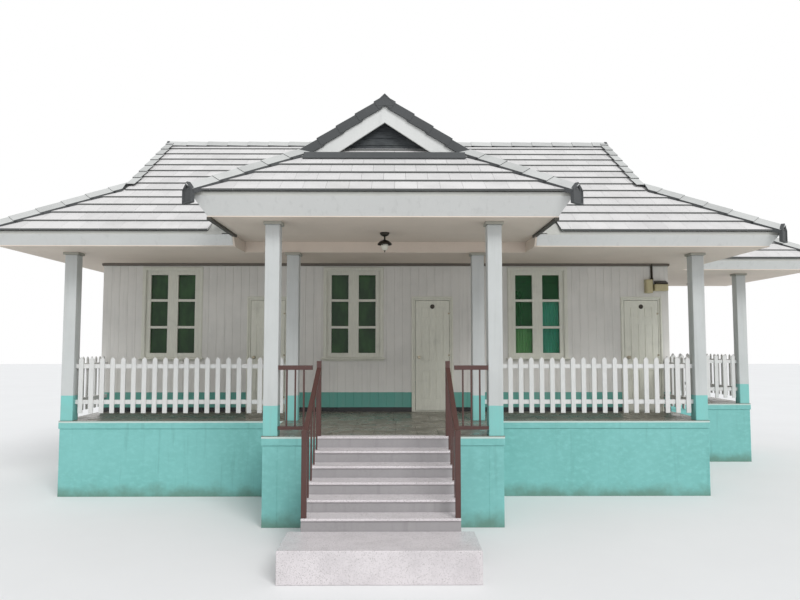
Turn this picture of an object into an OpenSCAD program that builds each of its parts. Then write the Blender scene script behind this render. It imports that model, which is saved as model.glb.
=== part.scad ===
// Raised three-room bungalow with a front veranda, an entrance porch and a side terrace.
// Millimetres, +Z up, front of the house towards -Y, right-hand end towards +X.
// The origin is the middle of the foot of the porch's front plinth wall.

/* [House] */
// Width of the house over its end walls
house_w = 10500; // [9500:50:12000]
// Depth of the rooms over the front and back walls
room_d = 4080; // [3400:20:5000]
// Height of the floor above the lowest ground
floor_h = 1200; // [1000:10:1600]
// Thickness of the room walls
wall_t = 120; // [90:5:200]
// Height from the floor to the ceiling of the rooms and the veranda
ceiling_h = 2745; // [2700:5:3100]
// Thickness of the ceiling and soffit boards
board_t = 20; // [12:1:30]

/* [Plinth and deck] */
// Thickness of the plinth walls
plinth_t = 200; // [150:10:300]
// Thickness of the floor slab
slab_t = 120; // [100:5:200]
// How far the edge of the floor slab stands out past the plinth walls
slab_lip = 15; // [0:5:40]

/* [Veranda and porch] */
// Depth of the veranda from its front edge to the front wall
veranda_d = 1515; // [1200:5:2200]
// Width of the porch over its columns
porch_w = 3240; // [2800:20:3800]
// How far the porch stands out in front of the veranda
porch_d = 1885; // [1500:5:2400]
// How much higher the porch ceiling is than the veranda ceiling
porch_rise = 173; // [100:1:260]
// Side of the square columns
column_w = 200; // [150:10:260]
// How far the plate on a column stands out
column_cap = 25; // [10:5:50]
// Thickness of the plate on a column
column_cap_h = 40; // [20:5:80]

/* [Side terrace] */
// Width of the terrace at the right-hand end
wing_w = 2350; // [1800:50:2800]
// How far the terrace is set back from the front wall
wing_setback = 1700; // [1000:50:2000]
// Overhang of the terrace roof at its front
wing_eave_front = 780; // [350:10:900]
// Overhang of the terrace roof at its end
wing_eave_end = 1200; // [700:50:1500]

/* [Stair] */
// Width of the stair
stair_w = 1800; // [1500:50:2200]
// Number of steps below the porch floor
step_count = 5; // [4:1:6]
// Height of each riser
riser_h = 143; // [130:1:165]
// Depth of each tread
tread_d = 288; // [260:2:320]
// Thickness of the stone treads
tread_t = 30; // [20:5:45]
// How far a tread stands out past its riser
nosing = 20; // [10:5:35]
// Depth of the landing at the foot of the stair
landing_d = 730; // [500:10:1000]
// Width of the landing at the foot of the stair
landing_w = 2100; // [1900:50:2400]

/* [Roof] */
// Pitch of every roof slope in degrees
roof_pitch = 33.4; // [30:0.2:36]
// Thickness of the tiled roof covering
roof_t = 40; // [30:5:80]
// Overhang of the main roof in front of the veranda
eave_front = 785; // [600:5:1000]
// Overhang of the main roof past the end walls
eave_end = 820; // [700:20:1100]
// Overhang of the main roof past the back wall
eave_back = 800; // [600:50:1000]
// Height of the main fascia boards, below the roof covering
fascia_h = 170; // [120:10:240]
// Thickness of all fascia boards
fascia_t = 30; // [20:5:45]
// Distance from an end eave to the small gable above it
gablet_run = 1700; // [1400:10:1900]
// Thickness of the gable panels
gablet_t = 40; // [25:5:60]
// How far a gable's verge stands out past its panel
verge_over = 160; // [150:10:300]
// Vertical depth of the barge boards
barge_h = 200; // [140:10:240]
// Thickness of the barge boards
barge_t = 35; // [25:5:50]
// Overhang of the porch roof at its front
porch_eave_front = 460; // [350:10:650]
// Overhang of the porch roof at its sides
porch_eave_side = 870; // [700:10:1000]
// Height of the porch fascia boards, below the roof covering
porch_fascia_h = 255; // [180:5:320]
// Distance from the porch's front eave to its gable
porch_gablet_run = 1400; // [1100:10:1500]
// Width of the ridge and hip caps
cap_w = 200; // [150:10:260]
// Height of the peak of the ridge and hip caps above the roof
cap_h = 80; // [50:5:110]
// Thickness of the long edges of the ridge and hip caps
cap_lip = 25; // [15:5:40]
// Thickness of the shell of the caps that stand out past the corners
cap_shell = 15; // [10:1:20]
// How far a hip cap reaches out past its corner
cap_reach = 130; // [80:10:180]
// Width of the verge caps
verge_cap_w = 140; // [100:10:200]
// Height of the verge caps above the roof
verge_cap_h = 45; // [30:5:70]
// How far the verge caps turn down over their barge boards
verge_cap_drop = 60; // [30:5:100]
// Height of the boards of a gable panel
lap_h = 110; // [80:5:160]
// How far the foot of a gable board stands out
lap_t = 18; // [10:1:30]
// How far the ledge at the foot of a gable panel stands out
ledge_w = 60; // [40:5:90]

/* [Doors] */
// Width of the doorways
door_w = 720; // [700:10:800]
// Height of the doorways above the floor
door_h = 2100; // [2000:10:2200]
// Width of the door frame members
door_frame_w = 40; // [30:5:60]
// Height of the door sill
sill_h = 20; // [15:1:40]
// Thickness of the door leaves
leaf_t = 40; // [35:1:45]
// Clearance round a door leaf
leaf_gap = 7; // [6:1:9]
// Radius of the hinge knuckles
hinge_r = 7; // [6:1:8]
// Height of the door knobs above the floor
knob_z = 1000; // [900:10:1100]
// Radius of the door knobs
knob_r = 28; // [22:1:32]
// Length of a door knob
knob_l = 30; // [20:1:40]
// How far the door knobs stand out from the leaf
knob_reach = 55; // [45:1:70]
// Radius of the spindle between two door knobs
spindle_r = 9; // [6:1:12]
// Distance of the door knobs from the free edge of the leaf
knob_inset = 65; // [50:1:80]
// Distance from the middle of the house to the left-hand doorway
door_left_x = 2200; // [2150:5:2400]
// Distance from the middle of the house to the middle doorway
door_middle_x = 850; // [700:5:900]
// Distance from the right-hand end of the house to the right-hand doorway
door_right_inset = 510; // [500:5:800]

/* [Windows] */
// Width of the window openings
window_w = 1000; // [900:10:1100]
// Height of the window openings
window_h = 1630; // [1450:10:1680]
// Height of the window heads above the floor
window_head = 2620; // [2560:10:2660]
// Width of the outer window frame
window_frame_w = 40; // [30:5:60]
// Width of the sash stiles and rails
sash_w = 50; // [40:5:60]
// Height of the glazing bars
bar_w = 45; // [30:5:60]
// Width of the post between the two sashes
mullion_w = 90; // [60:5:120]
// Depth of the window frames
window_d = 70; // [60:5:90]
// Thickness of the glass
glass_t = 6; // [4:1:8]
// Distance from the left-hand end of the house to the left-hand window
window_left_inset = 1280; // [1100:5:1400]
// Distance from the middle of the house to the middle window
window_middle_x = 615; // [500:5:900]
// Distance from the right-hand end of the house to the right-hand window
window_right_inset = 2440; // [2000:5:2600]

/* [Fences and rails] */
// Height of the picket fences above the floor
fence_h = 1030; // [980:10:1100]
// Width of a picket
picket_w = 75; // [60:5:90]
// Thickness of a picket
picket_t = 20; // [15:1:30]
// Widest distance from one picket to the next
picket_pitch = 176; // [130:2:200]
// Gap between the floor and the foot of the pickets
picket_gap = 120; // [80:5:150]
// Height of the lower fence rail above the floor, to its middle
rail_low_z = 300; // [250:10:400]
// Height of the upper fence rail above the floor, to its middle
rail_high_z = 880; // [750:10:900]
// Height of the fence rails
rail_h = 70; // [50:5:90]
// Thickness of the fence rails
rail_t = 35; // [25:5:45]
// Height of the stair and porch handrails above the steps and the floor
handrail_h = 950; // [850:10:1000]
// Side of the handrail posts
post_w = 60; // [45:5:80]
// Side of the balusters
baluster_w = 22; // [16:2:30]

/* [Fittings] */
// Radius of the porch lamp
lamp_r = 95; // [80:5:150]
// Drop of the porch lamp below the ceiling
lamp_drop = 300; // [240:10:360]
// Width of the meter box under the right-hand soffit
meter_w = 400; // [300:10:440]
// Height of the meter box
meter_h = 240; // [160:10:260]
// Gap between the right-hand doorway and the meter box above it
meter_gap = 90; // [60:5:150]
// Depth of the meter box
meter_d = 150; // [100:10:180]

/* [Hidden] */

wall_white = "Gainsboro";
trim_white = "WhiteSmoke";
turquoise = "MediumAquamarine";
tile_grey = "LightGray";
cap_grey = "DimGray";
door_cream = "Beige";
rail_brown = "SaddleBrown";
far = 20000;

// Plan lines, from the front to the back
y_porch = -plinth_t / 2;
y_veranda = y_porch + porch_d;
y_wall = y_veranda + veranda_d;
y_back = y_wall + room_d;
y_eave = y_veranda - eave_front;
y_eave_back = y_back + eave_back;
y_ridge = (y_eave + y_eave_back) / 2;
y_wing = y_wall + wing_setback;
y_wing_eave = y_wing - wing_eave_front;
y_wing_ridge = (y_wing_eave + y_eave_back) / 2;
y_porch_eave = y_porch - porch_eave_front;
y_porch_gable = y_porch_eave + porch_gablet_run;
y_porch_verge = y_porch_gable - verge_over;
y_beam = y_veranda + column_w;

// Plan lines, from the middle to the right
x_house = house_w / 2;
x_eave = x_house + eave_end;
x_gable = x_eave - gablet_run;
x_verge = x_gable + verge_over;
x_porch = porch_w / 2;
x_porch_eave = x_porch + porch_eave_side;
x_wing = x_house + wing_w;
x_wing_eave = x_wing + wing_eave_end;
x_stair = stair_w / 2;

// Levels
z_ceiling = floor_h + ceiling_h;
z_porch_ceiling = z_ceiling + porch_rise;
rise = tan(roof_pitch);
roof_tv = roof_t / cos(roof_pitch);
z_eave = z_ceiling + fascia_h + roof_tv;
z_porch_eave = z_porch_ceiling + porch_fascia_h + roof_tv;
z_landing = floor_h - (step_count + 1) * riser_h;

// Middles of the doorways and of the front windows, from the left
door_x = [-door_left_x, door_middle_x, x_house - door_right_inset];
window_x = [window_left_inset - x_house, -window_middle_x, x_house - window_right_inset];
window_z = window_head - window_h;

// Clearance between the roof and what lies on it or meets it in one plane
seat = 0.4;

// Slope of the hips, and how fast the roof falls away at right angles to one
hip_pitch = atan(rise / sqrt(2));
hip_fall = sin(hip_pitch);

// Doors
leaf_w = door_w - 2 * door_frame_w - 2 * leaf_gap;
leaf_z = floor_h + sill_h + leaf_gap;
leaf_h = floor_h + door_h - door_frame_w - leaf_gap - leaf_z;
hinge_y = y_wall - hinge_r;
hinge_h = 90;
knuckle_gap = 1;

// A box from its lowest corner to its highest corner
module span(a, b) {
    translate(a) cube(b - a);
}

// Extrudes a profile drawn in Y and Z along X
module along_x(x0, x1) {
    translate([x0, 0, 0]) rotate([90, 0, 90]) linear_extrude(x1 - x0) children();
}

// Extrudes a profile drawn in X and Z along Y
module along_y(y0, y1) {
    translate([0, y1, 0]) rotate([90, 0, 0]) linear_extrude(y1 - y0) children();
}

// Everything under two slopes that rise from u0 and u1 to a ridge between them
module under_ridge(u0, u1, z0) {
    mid = (u0 + u1) / 2;
    polygon([[u0, 0], [u1, 0], [u1, z0], [mid, z0 + rise * (u1 - mid)], [u0, z0]]);
}

// Everything under one slope that rises from u0 towards u1
module under_slope(u0, u1, z0) {
    polygon([[u0, 0], [u1, 0], [u1, z0 + rise * abs(u1 - u0)], [u0, z0]]);
}

// Room under the main roof's front and back slopes, with its surface moved by dz
module under_main_slopes(dz) {
    along_x(-x_eave, x_eave) under_ridge(y_eave, y_eave_back, z_eave + dz);
}

// Room under the main roof's end slopes
module under_main_hips(dz) {
    along_y(y_eave, y_eave_back) under_ridge(-x_eave, x_eave, z_eave + dz);
}

// Room under the whole main roof, whose gables reach out to x_end
module under_main_roof(dz, x_end) {
    intersection() {
        under_main_slopes(dz);
        union() {
            under_main_hips(dz);
            span([-x_end, y_eave, 0], [x_end, y_eave_back, far]);
        }
    }
}

// Room under the porch roof's side slopes
module under_porch_slopes(dz) {
    along_y(y_porch_eave, y_ridge) under_ridge(-x_porch_eave, x_porch_eave, z_porch_eave + dz);
}

// Room under the porch roof's front slope
module under_porch_hip(dz) {
    along_x(-x_porch_eave, x_porch_eave) under_slope(y_porch_eave, y_ridge, z_porch_eave + dz);
}

// Room under the terrace roof
module under_wing_roof(dz) {
    intersection() {
        along_x(0, x_wing_eave) under_ridge(y_wing_eave, y_eave_back, z_eave + dz);
        along_y(y_wing_eave, y_eave_back) under_slope(x_wing_eave, 0, z_eave + dz);
    }
}

// Front or back slope of the main roof
module main_slope(y0, y1) {
    difference() {
        intersection() {
            under_main_roof(0, x_verge);
            span([-x_eave, y0, 0], [x_eave, y1, far]);
        }
        under_main_slopes(-roof_tv);
        span([-x_porch_eave, y_eave, 0], [x_porch_eave, y_veranda, z_porch_ceiling + board_t]);
    }
}

// End slope of the main roof, below its gable
module main_hip(x0, x1) {
    difference() {
        intersection() {
            under_main_hips(0);
            under_main_slopes(-roof_tv);
            span([x0, y_eave, 0], [x1, y_eave_back, far]);
        }
        under_main_hips(-roof_tv);
    }
}

// Side slope of the porch roof, up to the main roof
module porch_slope(x0, x1) {
    difference() {
        intersection() {
            under_porch_slopes(0);
            union() {
                under_porch_hip(0);
                span([-x_porch_eave, y_porch_verge, 0], [x_porch_eave, y_ridge, far]);
            }
            span([x0, y_porch_eave, 0], [x1, y_ridge, far]);
        }
        under_porch_slopes(-roof_tv);
        under_main_slopes(0);
    }
}

module plinth_cross_walls() {
    top = floor_h - slab_t;
    color(turquoise) {
        span([-x_porch + plinth_t, y_porch, 0], [x_porch - plinth_t, y_porch + plinth_t, top]);
        for (side = [-1, 1]) {
            x0 = side < 0 ? -x_house : x_porch;
            x1 = side < 0 ? -x_porch : x_house;
            span([x0, y_veranda, 0], [x1, y_veranda + plinth_t, top]);
        }
        span([x_house, y_wing, 0], [x_wing, y_wing + plinth_t, top]);
        span([-x_house, y_back - plinth_t, 0], [x_wing, y_back, top]);
    }
}

module plinth_end_walls() {
    top = floor_h - slab_t;
    color(turquoise) {
        for (x = [-x_porch, x_porch - plinth_t])
            span([x, y_porch, 0], [x + plinth_t, y_veranda + plinth_t, top]);
        for (x = [-x_house, x_house - plinth_t])
            span([x, y_veranda + plinth_t, 0], [x + plinth_t, y_back - plinth_t, top]);
        span([x_wing - plinth_t, y_wing + plinth_t, 0], [x_wing, y_back - plinth_t, top]);
    }
}

// Level slab over a part of the plan, from the top of the plinth to the floor
module deck(x0, y0, x1, y1) {
    color(turquoise) span([x0, y0, floor_h - slab_t], [x1, y1, floor_h]);
}

module deck_house() {
    lip = slab_lip;
    deck(-x_house - lip, y_veranda - lip, x_house + lip, y_back + lip);
}

module deck_porch() {
    lip = slab_lip;
    deck(-x_porch - lip, y_porch - lip, x_porch + lip, y_veranda - lip);
}

module deck_wing() {
    lip = slab_lip;
    deck(x_house + lip, y_wing - lip, x_wing + lip, y_back + lip);
}

// Front edge of step i, counted down from the porch
function step_y(i) = y_porch - slab_lip - i * tread_d;

module stair_base() {
    color("LightGray") difference() {
        span([-x_stair, step_y(step_count), 0], [x_stair, y_porch, floor_h - riser_h - tread_t]);
        for (i = [1 : step_count - 1])
            span([-far, -far, floor_h - (i + 1) * riser_h - tread_t], [far, step_y(i), far]);
    }
}

module stair_treads() {
    color("WhiteSmoke") for (i = [1 : step_count]) {
        z = floor_h - i * riser_h;
        y1 = i > 1 ? step_y(i - 1) : y_porch;
        span([-x_stair, step_y(i) - nosing, z - tread_t], [x_stair, y1, z]);
    }
}

module stair_landing() {
    y0 = step_y(step_count) - landing_d;
    color("WhiteSmoke")
        span([-landing_w / 2, y0, 0], [landing_w / 2, step_y(step_count), z_landing]);
}

// Shaft of a square column, up to the plate under the ceiling that it carries
module column_shaft(top) {
    span([0, 0, floor_h], [column_w, column_w, top - column_cap_h]);
}

// Square plate between a column and the ceiling
module column_plate(top) {
    c = column_cap;
    span([-c, -c, top - column_cap_h], [column_w + c, column_w + c, top]);
}

// Places a child at each porch column
module at_porch_columns() {
    for (x = [-x_porch, x_porch - column_w])
        translate([x, y_porch, 0]) children();
}

// Places a child at each column under the main and terrace ceilings
module at_veranda_columns() {
    for (x = [-x_house, -x_porch, x_porch - column_w, x_house - column_w])
        translate([x, y_veranda, 0]) children();
    for (y = [y_wing, y_back - column_w])
        translate([x_wing - column_w, y, 0]) children();
}

module porch_columns() {
    color(trim_white) at_porch_columns() column_shaft(z_porch_ceiling);
}

module veranda_columns() {
    color(trim_white) at_veranda_columns() column_shaft(z_ceiling);
}

module column_plates() {
    color(trim_white) {
        at_porch_columns() column_plate(z_porch_ceiling);
        at_veranda_columns() column_plate(z_ceiling);
    }
}

// Opening of a window through a wall along X, with its middle at x
module window_hole(x, y) {
    span([x - window_w / 2, y - 1, floor_h + window_z],
        [x + window_w / 2, y + wall_t + 1, floor_h + window_z + window_h]);
}

// Part of the front wall between two doorways or an end, with the windows in it
module front_wall(x0, x1) {
    color(wall_white) difference() {
        span([x0, y_wall, floor_h], [x1, y_wall + wall_t, z_ceiling]);
        for (x = window_x)
            if (x > x0 && x < x1)
                window_hole(x, y_wall);
    }
}

module front_wall_1() {
    front_wall(-x_house, door_x[0] - door_w / 2);
}

module front_wall_2() {
    front_wall(door_x[0] + door_w / 2, door_x[1] - door_w / 2);
}

module front_wall_3() {
    front_wall(door_x[1] + door_w / 2, door_x[2] - door_w / 2);
}

module front_wall_4() {
    front_wall(door_x[2] + door_w / 2, x_house);
}

module walls_over_doors() {
    color(wall_white) for (x = door_x)
        span([x - door_w / 2, y_wall, floor_h + door_h], [x + door_w / 2, y_wall + wall_t, z_ceiling]);
}

module back_wall() {
    color(wall_white) difference() {
        span([-x_house, y_back - wall_t, floor_h], [x_house, y_back, z_ceiling]);
        for (x = window_x)
            window_hole(x, y_back - wall_t);
    }
}

// Middle of the side windows
y_side_window = (y_wall + y_back) / 2;

module side_wall(x) {
    color(wall_white) difference() {
        span([x, y_wall + wall_t, floor_h], [x + wall_t, y_back - wall_t, z_ceiling]);
        span([x - 1, y_side_window - window_w / 2, floor_h + window_z],
            [x + wall_t + 1, y_side_window + window_w / 2, floor_h + window_z + window_h]);
    }
}

module end_walls() {
    side_wall(-x_house);
    side_wall(x_house - wall_t);
}

// Middle height of hinge i of a door, counted from the lowest
function hinge_z(i) = leaf_z + leaf_h * (i == 0 ? 0.12 : i == 1 ? 0.5 : 0.88);

// Right-hand edge of a door leaf
function leaf_x(x) = x + leaf_w / 2;

// Axis of a door's hinges
function hinge_x(x) = leaf_x(x) + leaf_gap / 2;

module door_frames() {
    color(door_cream) for (x = door_x) {
        difference() {
            span([x - door_w / 2, y_wall, floor_h], [x + door_w / 2, y_wall + wall_t, floor_h + door_h]);
            span([x - door_w / 2 + door_frame_w, y_wall - 1, floor_h + sill_h],
                [x + door_w / 2 - door_frame_w, y_wall + wall_t + 1, floor_h + door_h - door_frame_w]);
        }
        for (i = [0 : 2], up = [-1, 1])
            frame_knuckle(x, hinge_z(i) + up * hinge_h / 3);
    }
}

// Upper or lower knuckle of a hinge, on the frame
module frame_knuckle(x, z) {
    h = hinge_h / 3 - knuckle_gap;
    translate([hinge_x(x), hinge_y, z - h / 2]) cylinder(r = hinge_r, h = h, $fn = 24);
    span([hinge_x(x), y_wall - 2, z - h / 2], [hinge_x(x) + 25, y_wall, z + h / 2]);
}

// Door leaf with raised fields, hinge knuckles and a knob on both faces
module door_leaf(x) {
    knob_x = leaf_x(x) - leaf_w + knob_inset;
    spindle = leaf_t + 2 * knob_reach;
    h = hinge_h / 3 - knuckle_gap;
    color(door_cream) difference() {
        span([leaf_x(x) - leaf_w, y_wall, leaf_z], [leaf_x(x), y_wall + leaf_t, leaf_z + leaf_h]);
        door_fields(x, y_wall - 1, y_wall + 8);
        door_fields(x, y_wall + leaf_t - 8, y_wall + leaf_t + 1);
    }
    color("DimGray") for (i = [0 : 2]) {
        translate([hinge_x(x), hinge_y, hinge_z(i) - h / 2]) cylinder(r = hinge_r, h = h, $fn = 24);
        span([leaf_x(x) - 25, y_wall - 2, hinge_z(i) - h / 2], [hinge_x(x), y_wall, hinge_z(i) + h / 2]);
    }
    color("DimGray") translate([knob_x, y_wall - knob_reach, floor_h + knob_z]) rotate([-90, 0, 0]) {
        cylinder(r = spindle_r, h = spindle, $fn = 24);
        cylinder(r = knob_r, h = knob_l, $fn = 32);
        translate([0, 0, spindle - knob_l]) cylinder(r = knob_r, h = knob_l, $fn = 32);
    }
}

// Sunk borders round the six raised fields of a door
module door_fields(x, y0, y1) {
    stile = 105;
    gap = 18;
    fw = (leaf_w - 3 * stile) / 2;
    for (row = [[0.1, 0.36], [0.44, 0.78], [0.84, 0.94]], col = [0, 1]) {
        x0 = leaf_x(x) - leaf_w + stile + col * (fw + stile);
        z0 = leaf_z + row[0] * leaf_h;
        z1 = leaf_z + row[1] * leaf_h;
        difference() {
            span([x0, y0, z0], [x0 + fw, y1, z1]);
            span([x0 + gap, y0 - 1, z0 + gap], [x0 + fw - gap, y1 + 1, z1 - gap]);
        }
    }
}

module door_left() {
    door_leaf(door_x[0]);
}

module door_middle() {
    door_leaf(door_x[1]);
}

module door_right() {
    door_leaf(door_x[2]);
}

// Widths of a sash, its glass and one of its three panes
sash_open_w = (window_w - 2 * window_frame_w - mullion_w) / 2 - 2 * sash_w;
sash_open_h = window_h - 2 * window_frame_w - 2 * sash_w;
pane_h = (sash_open_h - 2 * bar_w) / 3;

// Middle of a sash, from the middle of its window
sash_x = (sash_open_w + 2 * sash_w + mullion_w) / 2;

// Depth of the rebate that takes the glass
rebate_d = 20;
rebate_w = 15;

// Twin-sash window in a wall along X: front face at y = 0, middle at x = 0, foot at z = 0
module window_frame() {
    difference() {
        span([-window_w / 2, 0, 0], [window_w / 2, window_d, window_h]);
        for (side = [-1, 1]) {
            translate([side * sash_x, 0, 0]) {
                for (i = [0 : 2]) {
                    z = window_frame_w + sash_w + i * (pane_h + bar_w);
                    span([-sash_open_w / 2, -1, z], [sash_open_w / 2, window_d, z + pane_h]);
                }
                span([-sash_open_w / 2 - rebate_w, window_d - rebate_d, window_frame_w + sash_w - rebate_w],
                    [sash_open_w / 2 + rebate_w, window_d + 1, window_h - window_frame_w - sash_w + rebate_w]);
            }
        }
    }
}

module window_panes() {
    for (side = [-1, 1])
        translate([side * sash_x, window_d - rebate_d, window_frame_w + sash_w - rebate_w])
            span([-sash_open_w / 2 - rebate_w, 0, 0],
                [sash_open_w / 2 + rebate_w, glass_t, sash_open_h + 2 * rebate_w]);
}

// Places a window in each opening of the four walls
module at_windows() {
    for (x = window_x) {
        translate([x, y_wall + 10, floor_h + window_z]) children();
        translate([x, y_back - 10, floor_h + window_z]) rotate([0, 0, 180]) children();
    }
    translate([-x_house + 10, y_side_window, floor_h + window_z]) rotate([0, 0, -90]) children();
    translate([x_house - 10, y_side_window, floor_h + window_z]) rotate([0, 0, 90]) children();
}

module window_frames() {
    color(door_cream) at_windows() window_frame();
}

module window_glass() {
    color("DarkSlateGray") at_windows() window_panes();
}

module ceiling_main() {
    t = fascia_t;
    z1 = z_ceiling + board_t;
    color(trim_white) difference() {
        union() {
            span([-x_eave + t, y_eave + t, z_ceiling], [x_eave - t, y_eave_back - t, z1]);
            span([0, y_wing_eave + t, z_ceiling], [x_wing_eave - t, y_eave_back - t, z1]);
        }
        span([-x_porch_eave, 0, 0], [x_porch_eave, y_beam, far]);
    }
}

module ceiling_porch() {
    x = x_porch_eave - fascia_t;
    color(trim_white)
        span([-x, y_porch_eave + fascia_t, z_porch_ceiling], [x, y_veranda, z_porch_ceiling + board_t]);
}

// Beam over the inner porch columns
module porch_beam() {
    color(trim_white) span([-x_porch_eave, y_veranda, z_ceiling],
        [x_porch_eave, y_beam, z_porch_ceiling + board_t]);
}

// Boards that close the ends of the main eave beside the porch
module eave_returns() {
    color(trim_white) for (x0 = [-x_porch_eave, x_porch_eave - fascia_t])
        span([x0, y_eave, z_ceiling], [x0 + fascia_t, y_veranda, z_porch_ceiling]);
}

module fascia_cross() {
    t = fascia_t;
    color(trim_white) {
        intersection() {
            union() {
                for (x0 = [-x_eave, x_porch_eave])
                    span([x0, y_eave, z_ceiling], [x0 + x_eave - x_porch_eave, y_eave + t, far]);
                span([-x_eave, y_eave_back - t, z_ceiling], [x_eave, y_eave_back, far]);
            }
            under_main_slopes(-roof_tv);
            under_main_hips(-roof_tv);
        }
        intersection() {
            span([-x_porch_eave, y_porch_eave, z_porch_ceiling], [x_porch_eave, y_porch_eave + t, far]);
            under_porch_slopes(-roof_tv);
            under_porch_hip(-roof_tv);
        }
        intersection() {
            span([x_eave, y_wing_eave, z_ceiling], [x_wing_eave, y_wing_eave + t, far]);
            under_wing_roof(-roof_tv);
        }
        intersection() {
            span([x_eave, y_eave_back - t, z_ceiling], [x_wing_eave, y_eave_back, far]);
            under_wing_roof(-roof_tv);
        }
    }
}

module fascia_ends() {
    t = fascia_t;
    color(trim_white) {
        intersection() {
            union() {
                span([-x_eave, y_eave + t, z_ceiling], [-x_eave + t, y_eave_back - t, far]);
                span([x_eave - t, y_eave + t, z_ceiling], [x_eave, y_wing_eave + t, far]);
            }
            under_main_hips(-roof_tv);
        }
        difference() {
            intersection() {
                for (x0 = [-x_porch_eave, x_porch_eave - t])
                    span([x0, y_porch_eave + t, z_porch_ceiling], [x0 + t, y_ridge, far]);
                under_porch_slopes(-roof_tv);
                under_porch_hip(-roof_tv);
            }
            under_main_slopes(0);
        }
        intersection() {
            span([x_wing_eave - t, y_wing_eave + t, z_ceiling], [x_wing_eave, y_eave_back - t, far]);
            under_wing_roof(-roof_tv);
        }
    }
}

module roof_main_front() {
    color(tile_grey) main_slope(y_eave, y_ridge);
}

module roof_main_back() {
    color(tile_grey) main_slope(y_ridge, y_eave_back);
}

module roof_hips() {
    color(tile_grey) {
        main_hip(-x_eave, -x_gable);
        main_hip(x_gable, x_eave);
    }
}

module roof_porch_left() {
    color(tile_grey) porch_slope(-x_porch_eave, 0);
}

module roof_porch_right() {
    color(tile_grey) porch_slope(0, x_porch_eave);
}

module roof_porch_front() {
    color(tile_grey) difference() {
        intersection() {
            under_porch_hip(0);
            under_porch_slopes(-roof_tv);
            span([-x_porch_eave, y_porch_eave, 0], [x_porch_eave, y_porch_gable, far]);
        }
        under_porch_hip(-roof_tv);
    }
}

module roof_wing() {
    color(tile_grey) difference() {
        intersection() {
            under_wing_roof(0);
            span([x_gable, y_wing_eave, z_ceiling], [x_wing_eave, y_eave_back, far]);
        }
        under_wing_roof(-roof_tv);
        under_main_roof(seat, x_gable);
        difference() {
            under_main_roof(seat, x_verge);
            under_main_slopes(-roof_tv - barge_h);
        }
    }
}

// How far a gable panel reaches down behind the slope below it
panel_foot = 200;

// Thickness of the ledge at the foot of a gable panel
ledge_t = 22;

// Lapped boards and the ledge below them: the panel's face is at 0, the roof meets it at z0
module lap_profile(z0, z1) {
    count = ceil((z1 - z0) / lap_h);
    steps = [for (i = [0 : count - 1])
        each [[lap_t, z0 + i * lap_h], [lap_t / 4, z0 + (i + 1) * lap_h]]];
    polygon(concat([[-1, z0]], steps, [[-1, z0 + count * lap_h]]));
    polygon([[-1, z0], [0, z0], [ledge_w, z0 - ledge_w * rise],
        [ledge_w, z0 - ledge_w * rise + ledge_t], [0, z0 + ledge_t], [-1, z0 + ledge_t]]);
}

// Panel, boards and ledge of the gable at the right-hand end, as far as the main slopes
module main_gable_panel() {
    z_foot = z_eave + rise * gablet_run + seat;
    intersection() {
        union() {
            span([x_gable - gablet_t, y_eave, z_foot - panel_foot], [x_gable, y_eave_back, far]);
            translate([x_gable, 0, 0]) along_y(y_eave, y_eave_back) lap_profile(z_foot, z_main_ridge);
        }
        under_main_slopes(-roof_tv);
    }
}

module gable_panels() {
    z_porch = z_porch_eave + rise * porch_gablet_run + seat;
    color("DarkSlateGray") {
        mirror([1, 0, 0]) main_gable_panel();
        difference() {
            main_gable_panel();
            intersection() {
                span([x_gable, 0, 0], [far, far, far]);
                under_wing_roof(seat);
            }
        }
        difference() {
            intersection() {
                union() {
                    span([-x_porch_eave, y_porch_gable, z_porch - panel_foot],
                        [x_porch_eave, y_porch_gable + gablet_t, far]);
                    along_x(-x_porch_eave, x_porch_eave) translate([y_porch_gable, 0]) mirror([1, 0])
                        lap_profile(z_porch, z_porch_ridge);
                }
                under_porch_slopes(-roof_tv);
            }
            under_main_slopes(0);
        }
    }
}

module barge_boards() {
    color("White") {
        for (x0 = [-x_verge, x_verge - barge_t])
            difference() {
                intersection() {
                    under_main_slopes(-roof_tv);
                    span([x0, y_eave, 0], [x0 + barge_t, y_eave_back, far]);
                }
                under_main_slopes(-roof_tv - barge_h);
                under_main_hips(0);
            }
        difference() {
            intersection() {
                under_porch_slopes(-roof_tv);
                span([-x_porch_eave, y_porch_verge, 0], [x_porch_eave, y_porch_verge + barge_t, far]);
            }
            under_porch_slopes(-roof_tv - barge_h);
            under_porch_hip(0);
        }
    }
}

// How far the verge caps stand out past their verges
cap_over = barge_t;

// Half the depth of the terrace roof
wing_run = (y_eave_back - y_wing_eave) / 2;

// Heights of the three ridges, and the end of the terrace ridge
z_main_ridge = z_eave + rise * (y_ridge - y_eave);
z_porch_ridge = z_porch_eave + rise * x_porch_eave;
z_wing_ridge = z_eave + rise * wing_run;
x_wing_apex = x_wing_eave - wing_run;

// Section of a cap over two slopes, which fall away from it by fall, down to depth below its edges
module cap_profile(fall, depth = 0) {
    u = cap_w / 2;
    polygon([[0, -depth], [u, -u * fall - depth], [u, cap_lip - u * fall], [0, cap_h],
        [-u, cap_lip - u * fall], [-u, -u * fall - depth]]);
}

// Section of the space inside a cap that stands out past the roof
module cap_hollow(fall) {
    u = cap_w / 2 - cap_shell;
    edge = cap_lip - cap_shell - cap_w / 2 * fall;
    polygon([[-u, -cap_w], [u, -cap_w], [u, edge], [0, cap_h - cap_shell], [-u, edge]]);
}

// Everything under the caps down the verges of the right-hand gable
module under_verge_caps() {
    difference() {
        intersection() {
            under_main_slopes(verge_cap_h);
            span([x_verge + cap_over - verge_cap_w, y_eave, 0], [x_verge + cap_over, y_eave_back, far]);
        }
        under_main_hips(verge_cap_h);
    }
}

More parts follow.
